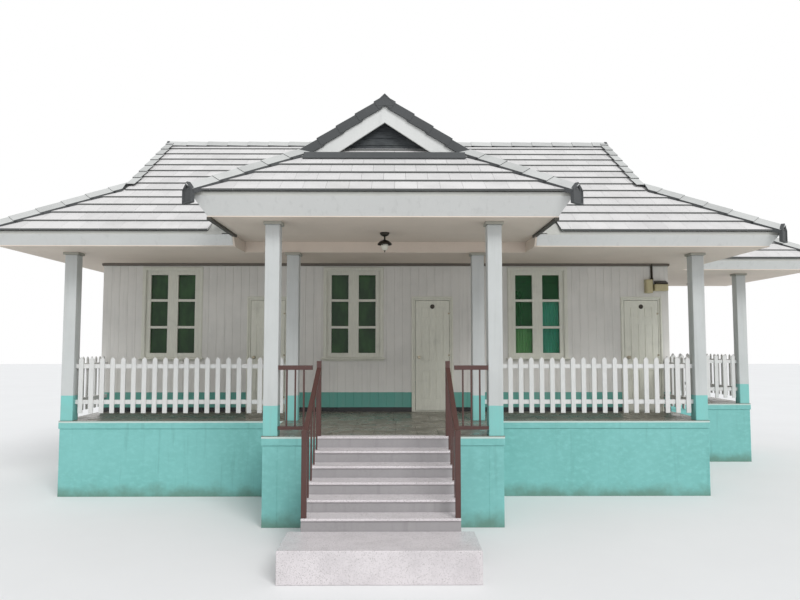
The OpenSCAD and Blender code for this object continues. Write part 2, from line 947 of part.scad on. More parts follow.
// Caps along the main ridge and down the verges of its gables, turned down past the verges
module main_caps() {
    x1 = x_verge + cap_over;
    difference() {
        union() {
            along_x(-x1, x1) translate([y_ridge, z_main_ridge]) cap_profile(rise, cap_w);
            mirror([1, 0, 0]) under_verge_caps();
            difference() {
                under_verge_caps();
                span([0, y_wing_ridge - cap_w / 2, 0], [far, far, far]);
            }
        }
        intersection() {
            under_main_slopes(0);
            span([-x_verge, y_eave, 0], [x_verge, y_eave_back, far]);
        }
        under_main_slopes(-roof_tv - verge_cap_drop);
    }
}

// Caps along the porch ridge and down the verges of its gable, turned down past the verges
module porch_caps() {
    y0 = y_porch_verge - cap_over;
    difference() {
        union() {
            along_y(y0, y_ridge) translate([0, z_porch_ridge]) cap_profile(rise, cap_w);
            difference() {
                intersection() {
                    under_porch_slopes(verge_cap_h);
                    span([-far, y0, 0], [far, y0 + verge_cap_w, far]);
                }
                under_porch_hip(verge_cap_h);
            }
        }
        intersection() {
            under_porch_slopes(0);
            span([-far, y_porch_verge, 0], [far, far, far]);
        }
        under_porch_slopes(-roof_tv - verge_cap_drop);
        under_main_slopes(0);
    }
}

// Cap along the terrace ridge
module wing_cap() {
    along_x(x_verge + cap_over, x_wing_apex) translate([y_wing_ridge, z_wing_ridge + seat])
        cap_profile(rise);
}

module ridge_caps() {
    color(cap_grey) {
        main_caps();
        porch_caps();
        wing_cap();
    }
}

// Cap over a hip that rises from an eave corner at 45 degrees in plan, open past the corner
module hip_cap(x, y, z, angle, run) {
    translate([x, y, z + seat]) rotate([0, 0, angle]) rotate([0, -hip_pitch, 0]) difference() {
        along_x(-cap_reach, run * sqrt(2) / cos(hip_pitch)) cap_profile(hip_fall);
        along_x(-cap_reach - 1, -cap_shell) cap_hollow(hip_fall);
    }
}

module hip_caps() {
    x1 = x_verge + cap_over;
    y1 = y_porch_verge - cap_over;
    color(cap_grey) {
        difference() {
            union() {
                hip_cap(-x_eave, y_eave, z_eave, 45, gablet_run);
                hip_cap(x_eave, y_eave, z_eave, 135, gablet_run);
                hip_cap(-x_eave, y_eave_back, z_eave, -45, gablet_run);
            }
            span([-x1, -far, 0], [x1, far, far]);
        }
        difference() {
            union() {
                hip_cap(-x_porch_eave, y_porch_eave, z_porch_eave, 45, porch_gablet_run);
                hip_cap(x_porch_eave, y_porch_eave, z_porch_eave, 135, porch_gablet_run);
            }
            span([-far, y1, 0], [far, far, far]);
        }
        difference() {
            union() {
                hip_cap(x_wing_eave, y_wing_eave, z_eave, 135, wing_run);
                hip_cap(x_wing_eave, y_eave_back, z_eave, -135, wing_run);
            }
            span([0, -far, 0], [x_wing_apex + seat, far, far]);
        }
    }
}

// Picket fence along X from 0 to len, with its middle at y = 0 and the floor at z = 0
module picket_fence(len) {
    bays = ceil((len - picket_w) / picket_pitch);
    pitch = len / bays;
    for (z = [rail_low_z, rail_high_z])
        translate([0, -rail_t / 2, z - rail_h / 2]) cube([len, rail_t, rail_h]);
    for (i = [0 : bays - 1])
        translate([(i + 0.5) * pitch - picket_w / 2, -rail_t / 2 - picket_t, picket_gap])
            picket();
}

// One picket with a pointed top
module picket() {
    h = fence_h - picket_gap;
    point = picket_w / 2;
    translate([0, picket_t, 0]) rotate([90, 0, 0]) linear_extrude(picket_t)
        polygon([[0, 0], [picket_w, 0], [picket_w, h - point], [picket_w / 2, h], [0, h - point]]);
}

// Distance from the outer face of the columns to the middle of the fences
fence_in = column_w / 2;

module fence_front_left() {
    color("White") translate([-x_house + column_w, y_veranda + fence_in, floor_h])
        picket_fence(x_house - x_porch - column_w);
}

module fence_front_right() {
    color("White") translate([x_porch, y_veranda + fence_in, floor_h])
        picket_fence(x_house - x_porch - column_w);
}

module fence_side_left() {
    color("White") translate([-x_house + fence_in, y_wall, floor_h]) rotate([0, 0, -90])
        picket_fence(veranda_d - column_w);
}

module fence_side_right() {
    color("White") translate([x_house - fence_in, y_veranda + column_w, floor_h]) rotate([0, 0, 90])
        picket_fence(veranda_d - column_w);
}

module fence_wing_front() {
    color("White") translate([x_house, y_wing + fence_in, floor_h])
        picket_fence(wing_w - column_w);
}

module fence_wing_side() {
    color("White") translate([x_wing - fence_in, y_wing + column_w, floor_h]) rotate([0, 0, 90])
        picket_fence(y_back - y_wing - 2 * column_w);
}

module fence_wing_back() {
    color("White") translate([x_wing - column_w, y_back - fence_in, floor_h]) rotate([0, 0, 180])
        picket_fence(wing_w - column_w);
}

// Level balustrade along X from 0 to len, standing on the floor at z = 0
module balustrade(len) {
    bays = ceil(len / 120);
    pitch = len / bays;
    low = 90;
    for (z = [low, handrail_h - post_w])
        translate([0, -post_w / 2, z]) cube([len, post_w, z > low ? post_w : baluster_w * 2]);
    for (i = [1 : bays - 1])
        translate([i * pitch - baluster_w / 2, -baluster_w / 2, low])
            cube([baluster_w, baluster_w, handrail_h - post_w - low]);
}

// Post at the head of the stair's handrail, on the porch floor
rail_head_y = y_porch + post_w;
porch_rail_len = x_porch - column_w - x_stair - post_w;

module porch_rails() {
    color(rail_brown) for (x = [-x_porch + column_w, x_stair + post_w])
        translate([x, y_porch + post_w / 2, floor_h]) balustrade(porch_rail_len);
}

// Sloping handrail beside the steps, with a post at its head and one at its foot
module stair_rail(x0) {
    slope = riser_h / tread_d;
    foot_y = step_y(step_count);
    foot_z = floor_h - step_count * riser_h;
    head_z = floor_h + handrail_h;
    function rail_z(y) = head_z - (rail_head_y - y) * slope;
    union() {
        span([x0, y_porch, floor_h], [x0 + post_w, y_porch + post_w, head_z + post_w]);
        span([x0, foot_y, foot_z], [x0 + post_w, foot_y + post_w, rail_z(foot_y) + post_w]);
        along_x(x0, x0 + post_w)
            polygon([[foot_y, rail_z(foot_y) - post_w], [rail_head_y, head_z - post_w],
                [rail_head_y, head_z], [foot_y, rail_z(foot_y)]]);
        for (i = [1 : step_count - 1]) {
            y = step_y(i) + tread_d * 0.3;
            span([x0 + post_w / 2 - baluster_w / 2, y, floor_h - i * riser_h],
                [x0 + post_w / 2 + baluster_w / 2, y + baluster_w, rail_z(y) - post_w / 2]);
        }
    }
}

module stair_rails() {
    color(rail_brown) {
        stair_rail(-x_stair);
        stair_rail(x_stair - post_w);
    }
}

module porch_lamp() {
    globe_r = lamp_r * 0.62;
    globe_z = lamp_drop - globe_r;
    translate([0, (y_porch + y_veranda) / 2, z_porch_ceiling]) {
        color("DimGray") translate([0, 0, -20]) cylinder(r = lamp_r * 0.6, h = 20, $fn = 48);
        color("DimGray") translate([0, 0, -globe_z]) cylinder(r = 12, h = globe_z, $fn = 24);
        color("DimGray") translate([0, 0, -globe_z + globe_r - 10]) cylinder(r = lamp_r, h = 20, $fn = 48);
        color("White") translate([0, 0, -globe_z]) sphere(r = globe_r, $fn = 48);
    }
}

module meter_box() {
    z0 = floor_h + door_h + meter_gap;
    x0 = x_house - 40 - meter_w;
    color("Tan") {
        span([x0, y_wall - meter_d, z0], [x0 + meter_w, y_wall, z0 + meter_h]);
        for (x = [x0 + meter_w * 0.25, x0 + meter_w * 0.5])
            translate([x, y_wall - meter_d / 3, z0]) cylinder(r = 20, h = z_ceiling - z0, $fn = 24);
    }
}

plinth_cross_walls();
plinth_end_walls();
deck_house();
deck_porch();
deck_wing();
stair_base();
stair_treads();
stair_landing();
porch_columns();
veranda_columns();
column_plates();
front_wall_1();
front_wall_2();
front_wall_3();
front_wall_4();
walls_over_doors();
back_wall();
end_walls();
door_frames();
door_left();
door_middle();
door_right();
window_frames();
window_glass();
ceiling_main();
ceiling_porch();
porch_beam();
eave_returns();
fascia_cross();
fascia_ends();
roof_main_front();
roof_main_back();
roof_hips();
roof_porch_left();
roof_porch_right();
roof_porch_front();
roof_wing();
gable_panels();
barge_boards();
ridge_caps();
hip_caps();
fence_front_left();
fence_front_right();
fence_side_left();
fence_side_right();
fence_wing_front();
fence_wing_side();
fence_wing_back();
porch_rails();
stair_rails();
porch_lamp();
meter_box();
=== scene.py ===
import math

import bpy
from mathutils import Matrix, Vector


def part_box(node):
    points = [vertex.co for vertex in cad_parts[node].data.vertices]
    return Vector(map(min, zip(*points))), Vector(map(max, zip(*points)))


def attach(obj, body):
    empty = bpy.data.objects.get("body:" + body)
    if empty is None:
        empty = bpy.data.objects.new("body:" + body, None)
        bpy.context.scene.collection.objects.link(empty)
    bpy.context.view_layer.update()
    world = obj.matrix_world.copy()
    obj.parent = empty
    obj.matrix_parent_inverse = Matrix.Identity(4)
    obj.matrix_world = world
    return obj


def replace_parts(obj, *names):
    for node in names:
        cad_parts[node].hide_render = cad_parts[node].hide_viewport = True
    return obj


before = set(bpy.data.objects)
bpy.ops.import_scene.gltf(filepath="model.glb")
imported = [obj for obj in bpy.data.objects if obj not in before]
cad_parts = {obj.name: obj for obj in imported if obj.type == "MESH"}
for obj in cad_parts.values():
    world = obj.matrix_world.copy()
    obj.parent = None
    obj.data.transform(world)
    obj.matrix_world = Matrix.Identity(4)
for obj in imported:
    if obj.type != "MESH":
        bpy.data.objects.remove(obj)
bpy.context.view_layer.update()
bpy.ops.object.select_all(action="DESELECT")

# The photograph's view: where the camera stands, how far it looks up and to the right, and its lens
CAMERA_PLACE = (0.157, -9.335, 2.421)
CAMERA_UP = math.radians(3.813)
CAMERA_RIGHT = math.radians(0.418)
CAMERA_LENS = 30.62
SENSOR_W = 36
VIEW_END = 300

# Daylight: a bright sky, a weak sun from the front right and a weaker one from the front
SKY = (0.96, 0.98, 1.0)
SKY_STRENGTH = 0.75
SUNS = {"sun": ((12, -20, 22), 1.6, 25), "front_fill": ((0, -30, 7), 0.28, 70)}
LIT_POINT = (0, 3, 2)
STAGE_SIZE = 160

X, Y, Z = 0, 1, 2
HOUSE = "house"
SIDES = {"left": -1, "right": 1}
HALF_TURN = math.pi
QUARTER_TURN = math.pi / 2
NO_TURN = (0, 0, 0)
EVEN = (1, 1, 1)

# What counts as level in metres, how squarely a face has to face a way, and what is flat or sharp
TOLERANCE = 0.001
FACING = 0.9
FLAT_ANGLE = math.radians(1)
SHARP_ANGLE = math.radians(35)
SMOOTH_ANGLE = math.radians(40)


# Modelling helpers

def least(node, axis):
    """Where a node starts along an axis."""
    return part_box(node)[0][axis]


def most(node, axis):
    """Where a node ends along an axis."""
    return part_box(node)[1][axis]


def middle(low, high):
    """The point half way between two corners."""
    return [(a + b) / 2 for a, b in zip(low, high)]


def activate(obj):
    """Makes obj the one selected and active object."""
    bpy.ops.object.select_all(action="DESELECT")
    obj.select_set(True)
    bpy.context.view_layer.objects.active = obj


def edit_all(obj):
    """Opens obj in edit mode with everything selected."""
    activate(obj)
    bpy.ops.object.mode_set(mode="EDIT")
    bpy.ops.mesh.select_all(action="SELECT")


def leave_edit():
    """Goes back to object mode."""
    bpy.ops.object.mode_set(mode="OBJECT")


def put(obj, place=(0, 0, 0), turn=NO_TURN):
    """Turns and moves obj, and keeps its place, turn and scale in its mesh."""
    obj.location = place
    obj.rotation_euler = turn
    activate(obj)
    bpy.ops.object.transform_apply(location=True, rotation=True, scale=True)
    return obj


def started(name, place, scale=EVEN, turn=NO_TURN):
    """Names the shape that was just added, and gives it its scale and place."""
    obj = bpy.context.object
    obj.name = name
    obj.scale = scale
    return put(obj, place, turn)


def block(name, low, high):
    """A box between two corners, as the start of a piece."""
    bpy.ops.mesh.primitive_cube_add(size=1)
    return started(name, middle(low, high), [b - a for a, b in zip(low, high)])


def mark(obj, kind, items, test):
    """Opens obj in edit mode with those items of one kind selected that pass the test."""
    chosen = [test(item) for item in items]
    edit_all(obj)
    bpy.ops.mesh.select_mode(type=kind)
    bpy.ops.mesh.select_all(action="DESELECT")
    leave_edit()
    for item, choice in zip(items, chosen):
        item.select = choice
    bpy.ops.object.mode_set(mode="EDIT")


def pick_faces(obj, test):
    """Opens obj in edit mode with the faces selected whose middle and normal pass the test."""
    mark(obj, "FACE", obj.data.polygons, lambda face: test(face.center, face.normal))


def move_points(obj, test, move):
    """Moves the points whose place passes the test."""
    mark(obj, "VERT", obj.data.vertices, lambda point: test(point.co))
    bpy.ops.transform.translate(value=move)
    leave_edit()


def bevel_edges(obj, test, width, segments=1):
    """Bevels the edges whose two ends pass the test."""
    points = obj.data.vertices
    mark(obj, "EDGE", obj.data.edges, lambda edge: test(*(points[end].co for end in edge.vertices)))
    bpy.ops.mesh.bevel(offset=width, segments=segments)
    leave_edit()


def delete_faces(obj, test):
    """Deletes the faces whose middle and normal pass the test."""
    pick_faces(obj, test)
    bpy.ops.mesh.delete(type="FACE")
    leave_edit()


def extrude(move=(0, 0, 0)):
    """Extrudes what is selected in edit mode."""
    bpy.ops.mesh.extrude_region_move(TRANSFORM_OT_translate={"value": move})


def step_faces(obj, test, border, move):
    """Leaves a border round the faces that pass the test, and moves what is inside it in one step."""
    pick_faces(obj, test)
    bpy.ops.mesh.inset(thickness=border)
    extrude(move)
    leave_edit()


def split(obj, point, normal, discard=False):
    """Cuts obj with a plane; discard throws away the side that the normal points to."""
    edit_all(obj)
    bpy.ops.mesh.bisect(plane_co=point, plane_no=normal, clear_outer=discard, use_fill=discard)
    leave_edit()


def cut(obj, *planes):
    """Cuts obj with upright planes, each given as x, y and the way out in x and y."""
    for x, y, out_x, out_y in planes:
        split(obj, (x, y, 0), (out_x, out_y, 0), True)
    return obj


def modify(obj, kind, **settings):
    """Adds a modifier with its settings and applies it."""
    activate(obj)
    modifier = obj.modifiers.new(kind.title(), kind)
    for name, value in settings.items():
        setattr(modifier, name, value)
    bpy.ops.object.modifier_apply(modifier=modifier.name)
    return obj


def repeat(obj, count, step, shift_u=0.0, shift_v=0.0):
    """Repeats obj in a row; the shift of the map numbers each copy."""
    return modify(obj, "ARRAY", count=count, use_relative_offset=False, use_constant_offset=True,
                  constant_offset_displace=step, offset_u=shift_u, offset_v=shift_v)


def soften(obj, width, segments=2):
    """Rounds the sharp edges of obj."""
    return modify(obj, "BEVEL", width=width, segments=segments, limit_method="ANGLE",
                  angle_limit=SHARP_ANGLE, harden_normals=False)


def join(name, pieces):
    """Joins pieces into one mesh."""
    activate(pieces[0])
    for piece in pieces:
        piece.select_set(True)
    bpy.ops.object.join()
    pieces[0].name = name
    return pieces[0]


def shrink_map(obj):
    """Shrinks obj's map almost to a point, so that a shift of the map can number each copy."""
    for corner in obj.data.uv_layers.active.data:
        corner.uv = corner.uv * MAP_SHRINK
    return obj


def second_material(obj, test):
    """Gives the faces whose middle and normal pass the test the second material, and the rest the first."""
    for face in obj.data.polygons:
        face.material_index = 1 if test(face.center, face.normal) else 0


def dress(obj, slot, *materials, body=HOUSE):
    """Gives obj its materials and its body; slot is not used."""
    faces = obj.data.polygons
    numbers = [0] * len(faces)
    faces.foreach_get("material_index", numbers)
    obj.data.materials.clear()
    for material in materials:
        obj.data.materials.append(material)
    faces.foreach_set("material_index", [min(number, len(materials) - 1) for number in numbers])
    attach(obj, body)
    return obj


# Roof: every slope has one pitch, and each course of tiles shows one gauge
PITCH = math.radians(33.4)
RISE = math.tan(PITCH)
HIP_PITCH = math.atan(RISE / math.sqrt(2))
GAUGE = 0.34
TILE_W = 0.3
TILE_T = 0.028
TILE_TOP = 2 * TILE_T
TILE_LAP = 0.05
TILE_JOINT = 0.003
TILE_CHAMFER = 0.006
EAVE_LIP = 0.03
VALLEY_LAP = 0.3
CUT_BACK = 0.21
MAP_STEP = 0.01
MAP_SHRINK = 0.001
MAP_ROUNDING = 0.3

# Places of the roof, worked out from the frame
FLOOR = most("deck_house", Z)
X_EAVE = most("roof_main_front", X)
Y_EAVE, Y_RIDGE = least("roof_main_front", Y), most("roof_main_front", Y)
Y_BACK_EAVE = most("roof_main_back", Y)
Z_RIDGE = most("roof_main_front", Z)
Z_EAVE = Z_RIDGE - RISE * (Y_RIDGE - Y_EAVE)
X_GABLE = -least("roof_hips", X) - (most("roof_hips", Z) - Z_EAVE) / RISE
X_VERGE = most("barge_boards", X)
PORCH_X = most("roof_porch_front", X)
PORCH_Y, PORCH_GABLE_Y = least("roof_porch_front", Y), most("roof_porch_front", Y)
PORCH_VERGE_Y = least("barge_boards", Y)
PORCH_RIDGE_Z = most("roof_porch_left", Z)
PORCH_EAVE_Z = PORCH_RIDGE_Z - RISE * PORCH_X
WING_X = most("roof_wing", X)
WING_Y = least("roof_wing", Y)
WING_RUN = (Y_BACK_EAVE - WING_Y) / 2
WING_APEX_X = WING_X - WING_RUN
WING_RIDGE_Y = WING_Y + WING_RUN
WING_RIDGE_Z = Z_EAVE + RISE * WING_RUN
VALLEY_Y = Y_EAVE + (PORCH_EAVE_Z - Z_EAVE) / RISE


# Materials

class Nodes:
    """A node tree that is built up step by step."""

    def __init__(self, tree):
        self.tree = tree

    def feed(self, node, inputs):
        """Links an output to a node's input, or sets the input to a fixed value."""
        for key, value in inputs.items():
            if isinstance(value, bpy.types.NodeSocket):
                self.tree.links.new(value, node.inputs[key])
            else:
                node.inputs[key].default_value = value

    def add(self, kind, inputs, **settings):
        """Adds a node with its settings and its inputs."""
        node = self.tree.nodes.new("ShaderNode" + kind)
        for name, value in settings.items():
            setattr(node, name, value)
        self.feed(node, inputs)
        return node

    def math(self, operation, first, second):
        """One step of arithmetic on numbers or outputs."""
        return self.add("Math", {0: first, 1: second}, operation=operation).outputs[0]


class Surface(Nodes):
    """A material that is built up round its principled shader."""

    def __init__(self, name, roughness, specular=0.5, metallic=0.0):
        self.material = bpy.data.materials.new(name)
        self.material.use_nodes = True
        super().__init__(self.material.node_tree)
        self.shader = self.tree.nodes["Principled BSDF"]
        self.feed(self.shader, {"Roughness": roughness, "Specular IOR Level": specular,
                                "Metallic": metallic})
        self.coords = self.add("TexCoord", {})

    def scaled(self, scale):
        """Object coordinates, stretched by a scale for each axis."""
        inputs = {"Vector": self.coords.outputs["Object"], "Scale": scale}
        return self.add("Mapping", inputs).outputs["Vector"]

    def noise(self, scale, size, detail=4.0):
        """Noise of a given size, stretched by a scale for each axis."""
        inputs = {"Vector": self.scaled(scale), "Scale": size, "Detail": detail, "Roughness": 0.6}
        return self.add("TexNoise", inputs).outputs["Fac"]

    def ramp(self, value, low, high):
        """Spreads the part of a value between low and high over 0 to 1."""
        inputs = {"Value": value, "From Min": low, "From Max": high}
        return self.add("MapRange", inputs, interpolation_type="SMOOTHSTEP").outputs["Result"]

    def patches(self, scale, size, low, high, detail=4.0):
        """Noise as patches, with soft edges between low and high."""
        return self.ramp(self.noise(scale, size, detail), low, high)

    def blend(self, factor, first, second):
        """Mixes two colours or colour outputs."""
        pair = [(*value, 1) if isinstance(value, tuple) else value for value in (first, second)]
        return self.add("Mix", {0: factor, 6: pair[0], 7: pair[1]}, data_type="RGBA").outputs[2]

    def stain(self, tone, pattern, strength, colour):
        """Lays a colour over a tone where a pattern shows, at a part of its strength."""
        return self.blend(self.math("MULTIPLY", pattern, strength), tone, colour)

    def height(self):
        """Height above the ground, in metres."""
        return self.add("SeparateXYZ", {0: self.coords.outputs["Object"]}).outputs["Z"]

    def rough_height(self, pattern, depth):
        """Height above the ground, made uneven by a pattern of a depth."""
        return self.math("ADD", self.height(), self.math("MULTIPLY", pattern, depth))

    def finish(self, tone, relief, depth, *gloss):
        """Sets the base colour, a relief of a depth in metres, and the least and most roughness."""
        bump = self.add("Bump", {"Height": relief, "Distance": depth}).outputs["Normal"]
        self.feed(self.shader, {"Base Color": tone, "Normal": bump})
        if gloss:
            spread = self.add("MapRange", {"Value": relief, "To Min": gloss[0], "To Max": gloss[1]})
            self.feed(self.shader, {"Roughness": spread.outputs["Result"]})
        return self.material


def srgb(red, green, blue):
    """A colour given as it looks on a screen, from 0 to 255, as light."""
    return tuple(((c / 255 + 0.055) / 1.055) ** 2.4 if c > 10 else c / 255 / 12.92
                 for c in (red, green, blue))


def shaded(colour, factor):
    """A colour made lighter or darker."""
    return tuple(min(1.0, c * factor) for c in colour)


def painted(name, colour, roughness=0.55, dirt=0.88, streak=0.0):
    """Brushed paint: broad patches, fine marks, and streaks where rain runs down."""
    paint = Surface(name, roughness)
    fine = paint.noise(EVEN, 38.0, detail=6.0)
    tone = paint.blend(paint.patches(EVEN, 1.3, 0.35, 0.68), shaded(colour, dirt), colour)
    tone = paint.blend(paint.ramp(fine, 0.3, 0.75), shaded(colour, (dirt + 1) / 2), tone)
    if streak:
        tone = paint.stain(tone, paint.patches((9, 9, 0.7), 1.6, 0.52, 0.75), streak, shaded(colour, 0.55))
    return paint.finish(tone, fine, 0.0012, roughness - 0.08, roughness + 0.12)


def banded(name, low_colour, high_colour, level, roughness):
    """Paint that changes colour at a level, with a hand-brushed edge, and dark patches and streaks all over.
    """
    paint = Surface(name, roughness)
    above = paint.ramp(paint.rough_height(paint.noise((4, 4, 1), 6.0), 0.012), level + 0.004, level + 0.008)
    tone = paint.blend(above, low_colour, high_colour)
    tone = paint.stain(tone, paint.patches(EVEN, 1.5, 0.35, 0.7), 0.14, (0.25, 0.27, 0.25))
    tone = paint.stain(tone, paint.patches((11, 11, 0.6), 1.7, 0.5, 0.78), 0.2, (0.28, 0.29, 0.27))
    fine = paint.noise(EVEN, 45.0, detail=6.0)
    return paint.finish(tone, fine, 0.0015, roughness - 0.08, roughness + 0.14)


def plinth_render():
    """Painted render: trowelled, faded in patches, splashed with earth, with a pale strip at its top."""
    paint = Surface("plinth_render", 0.6, specular=0.35)
    tone = paint.blend(paint.patches(EVEN, 0.9, 0.3, 0.7), srgb(114, 176, 171), srgb(122, 184, 180))
    trowel = paint.noise((1, 1, 1.6), 9.0, detail=8.0)
    tone = paint.blend(paint.ramp(trowel, 0.42, 0.72), tone, srgb(126, 188, 184))
    clean = paint.ramp(paint.rough_height(paint.noise(EVEN, 3.5), 0.35), 0.14, 0.42)
    tone = paint.blend(clean, srgb(100, 138, 126), tone)
    tone = paint.stain(tone, paint.patches((8, 8, 0.5), 1.4, 0.55, 0.78), 0.3, srgb(78, 128, 122))
    edge = paint.ramp(paint.rough_height(trowel, 0.006), FLOOR - 0.026, FLOOR - 0.02)
    tone = paint.blend(edge, tone, srgb(186, 204, 198))
    return paint.finish(tone, trowel, 0.0025, 0.5, 0.75)


def tile_number(surface):
    """A random value for each tile, from the number that its map carries."""
    inputs = {0: surface.coords.outputs["UV"], 1: (1 / MAP_STEP, 1 / MAP_STEP, 0),
              2: (MAP_ROUNDING, MAP_ROUNDING, 0)}
    number = surface.add("VectorMath", inputs, operation="MULTIPLY_ADD").outputs[0]
    whole = surface.add("VectorMath", {0: number}, operation="FLOOR").outputs[0]
    return surface.add("TexWhiteNoise", {"Vector": whole}, noise_dimensions="2D").outputs["Value"]


def roof_tile_face(name, colour, spread):
    """Pale concrete tile: each its own shade, with weathering and lichen."""
    tile = Surface(name, 0.85, specular=0.25)
    tone = tile.blend(tile_number(tile), shaded(colour, 1 - spread), shaded(colour, 1 + spread / 4))
    tone = tile.stain(tone, tile.patches(EVEN, 2.2, 0.42, 0.7, 6.0), 0.3, shaded(colour, 0.66))
    grit = tile.noise(EVEN, 90.0, detail=3.0)
    tone = tile.stain(tone, tile.ramp(grit, 0.45, 0.7), 0.18, shaded(colour, 0.5))
    tone = tile.stain(tone, tile.patches(EVEN, 14.0, 0.66, 0.74, 5.0), 0.35, srgb(150, 152, 128))
    return tile.finish(tone, grit, 0.003, 0.75, 0.95)


def speckled(name, colour, dark, pale, roughness=0.35):
    """Polished ground stone: dark and pale chips in a plain body."""
    stone = Surface(name, roughness)
    chips = stone.add("TexVoronoi", {"Vector": stone.scaled(EVEN), "Scale": 230}).outputs["Color"]
    tone = stone.blend(stone.ramp(chips, 0.78, 0.82), colour, dark)
    tone = stone.blend(stone.patches(EVEN, 320.0, 0.6, 0.66, 2.0), tone, pale)
    worn = stone.patches(EVEN, 2.4, 0.4, 0.72, 6.0)
    tone = stone.stain(tone, worn, 0.35, shaded(colour, 0.6))
    return stone.finish(tone, worn, 0.0015, roughness - 0.05, roughness + 0.3)


def floor_glaze():
    """Glazed floor tiles, each a little different, in grey and brown."""
    glaze = Surface("floor_glaze", 0.3)
    cloud = glaze.patches(EVEN, 4.0, 0.35, 0.7, 5.0)
    tone = glaze.blend(tile_number(glaze), srgb(104, 101, 90), srgb(126, 121, 110))
    return glaze.finish(glaze.stain(tone, cloud, 0.25, srgb(84, 82, 73)), cloud, 0.0008, 0.22, 0.45)


def dark_boards():
    """Dark stained boards with grain along their length and faded patches."""
    wood = Surface("gable_boards", 0.7, specular=0.3)
    grain = wood.noise((0.8, 0.8, 14), 9.0, detail=8.0)
    tone = wood.blend(wood.ramp(grain, 0.35, 0.7), srgb(46, 49, 52), srgb(78, 82, 84))
    tone = wood.stain(tone, wood.patches(EVEN, 1.8, 0.5, 0.75), 0.5, srgb(104, 108, 106))
    return wood.finish(tone, grain, 0.004)


def glass_material(name, dark, light, cover):
    """Window glass: green patches as a painted reflection of greenery, dark as painted shade of the room
    behind, with slight waves; cover is how much it hides.
    """
    pane = Surface(name, 0.08, specular=0.22)
    pane.feed(pane.shader, {"Alpha": cover})
    tone = pane.blend(pane.patches((1.5, 1.5, 0.7), 2.2, 0.35, 0.7, 3.0), dark, light)
    return pane.finish(tone, pane.noise(EVEN, 2.5, detail=1.0), 0.004)


def metal(name, colour, roughness):
    """Metal with fine wear and dull spots."""
    finish = Surface(name, roughness, metallic=0.9)
    spots = finish.patches(EVEN, 60.0, 0.4, 0.7, 5.0)
    return finish.finish(finish.blend(spots, colour, shaded(colour, 0.6)), spots, 0.0004,
                         roughness, roughness + 0.25)


def woodwork(name, colour, roughness=0.45):
    """Gloss paint over timber: faint grain shows through, with worn marks."""
    paint = Surface(name, roughness)
    grain = paint.noise((14, 14, 0.8), 8.0, detail=8.0)
    tone = paint.blend(paint.ramp(grain, 0.3, 0.75), shaded(colour, 0.86), colour)
    tone = paint.stain(tone, paint.patches(EVEN, 3.0, 0.55, 0.72, 6.0), 0.3, shaded(colour, 0.6))
    return paint.finish(tone, grain, 0.0015, roughness - 0.1, roughness + 0.15)


def cotton(name, colour):
    """Thin dyed cotton with a fine weave and faded patches."""
    cloth = Surface(name, 0.9, specular=0.2)
    cloth.feed(cloth.shader, {"Sheen Weight": 0.25})
    weave = cloth.noise((1, 1, 0.15), 420.0, detail=2.0)
    tone = cloth.blend(cloth.ramp(weave, 0.3, 0.7), shaded(colour, 0.8), colour)
    faded = cloth.patches((6, 1, 0.6), 3.0, 0.4, 0.7)
    return cloth.finish(cloth.stain(tone, faded, 0.3, shaded(colour, 1.25)), weave, 0.0006)


DADO_TOP = FLOOR + 0.36
COLUMN_BAND_TOP = FLOOR + 0.41

TILE_FACE = roof_tile_face("roof_tile_face", srgb(218, 216, 215), 0.09)
# Tile front edges and undersides: dark for grime, and as painted shade where faces turn from the sky
TILE_EDGE_GRIME_AND_SHADE = painted("roof_tile_edge_grime_and_shade", srgb(102, 104, 103), 0.9, dirt=0.75)
CAP_FACE = roof_tile_face("cap_face", srgb(198, 199, 197), 0.12)
# Sides of caps and verges, closing tiles and flashings: dark as painted shade
CAP_SHADE = painted("cap_shade", srgb(80, 82, 83), 0.85, dirt=0.75)
UNDERLAY = painted("tile_underlay", srgb(196, 196, 190), 0.9, dirt=0.85)
PLINTH = plinth_render()
WALL_PAINT = banded("wall_paint", srgb(88, 156, 144), srgb(215, 213, 208), DADO_TOP, 0.6)
COLUMN_PAINT = banded("column_paint", srgb(122, 190, 185), srgb(190, 193, 192), COLUMN_BAND_TOP, 0.5)
# Column plates: darker grey as painted shade at the heads of the columns
PLATE_SHADE_PAINT = painted("column_plate_shade", srgb(164, 163, 153), 0.6)
TRIM = painted("trim_paint", srgb(208, 209, 207), 0.5, dirt=0.94, streak=0.2)
SOFFIT = painted("soffit_paint", srgb(216, 203, 190), 0.7)
# Soffit beads: dark as a painted shadow gap under the porch soffit's sides
SHADOW_GAP_BEAD = painted("shadow_gap_bead_paint", srgb(70, 68, 62), 0.6)
# Cornices: dark brown, in part a painted shadow line where the walls meet the soffit
CORNICE_SHADOW_PAINT = woodwork("cornice_shadow_paint", srgb(104, 97, 88), 0.5)
SKIRTING = speckled("skirting_glaze", srgb(36, 38, 40), srgb(14, 14, 16), srgb(70, 72, 74), 0.3)
JOINERY = woodwork("joinery_paint", srgb(222, 222, 209))
FRAME_PAINT = woodwork("window_frame_paint", srgb(214, 214, 202))
FENCE_PAINT = woodwork("fence_paint", srgb(214, 214, 212), 0.5)
RAIL_PAINT = woodwork("rail_paint", srgb(80, 51, 46), 0.4)
GABLE_BOARDS = dark_boards()
STEP_STONE = speckled("stair_stone", srgb(212, 206, 208), srgb(120, 116, 112), srgb(232, 230, 228))
STEP_BODY = painted("stair_mass", srgb(160, 157, 158), 0.75, dirt=0.8, streak=0.3)
FLOOR_GLAZE = floor_glaze()
FLOOR_JOINT = painted("floor_joint", srgb(88, 86, 79), 0.9)
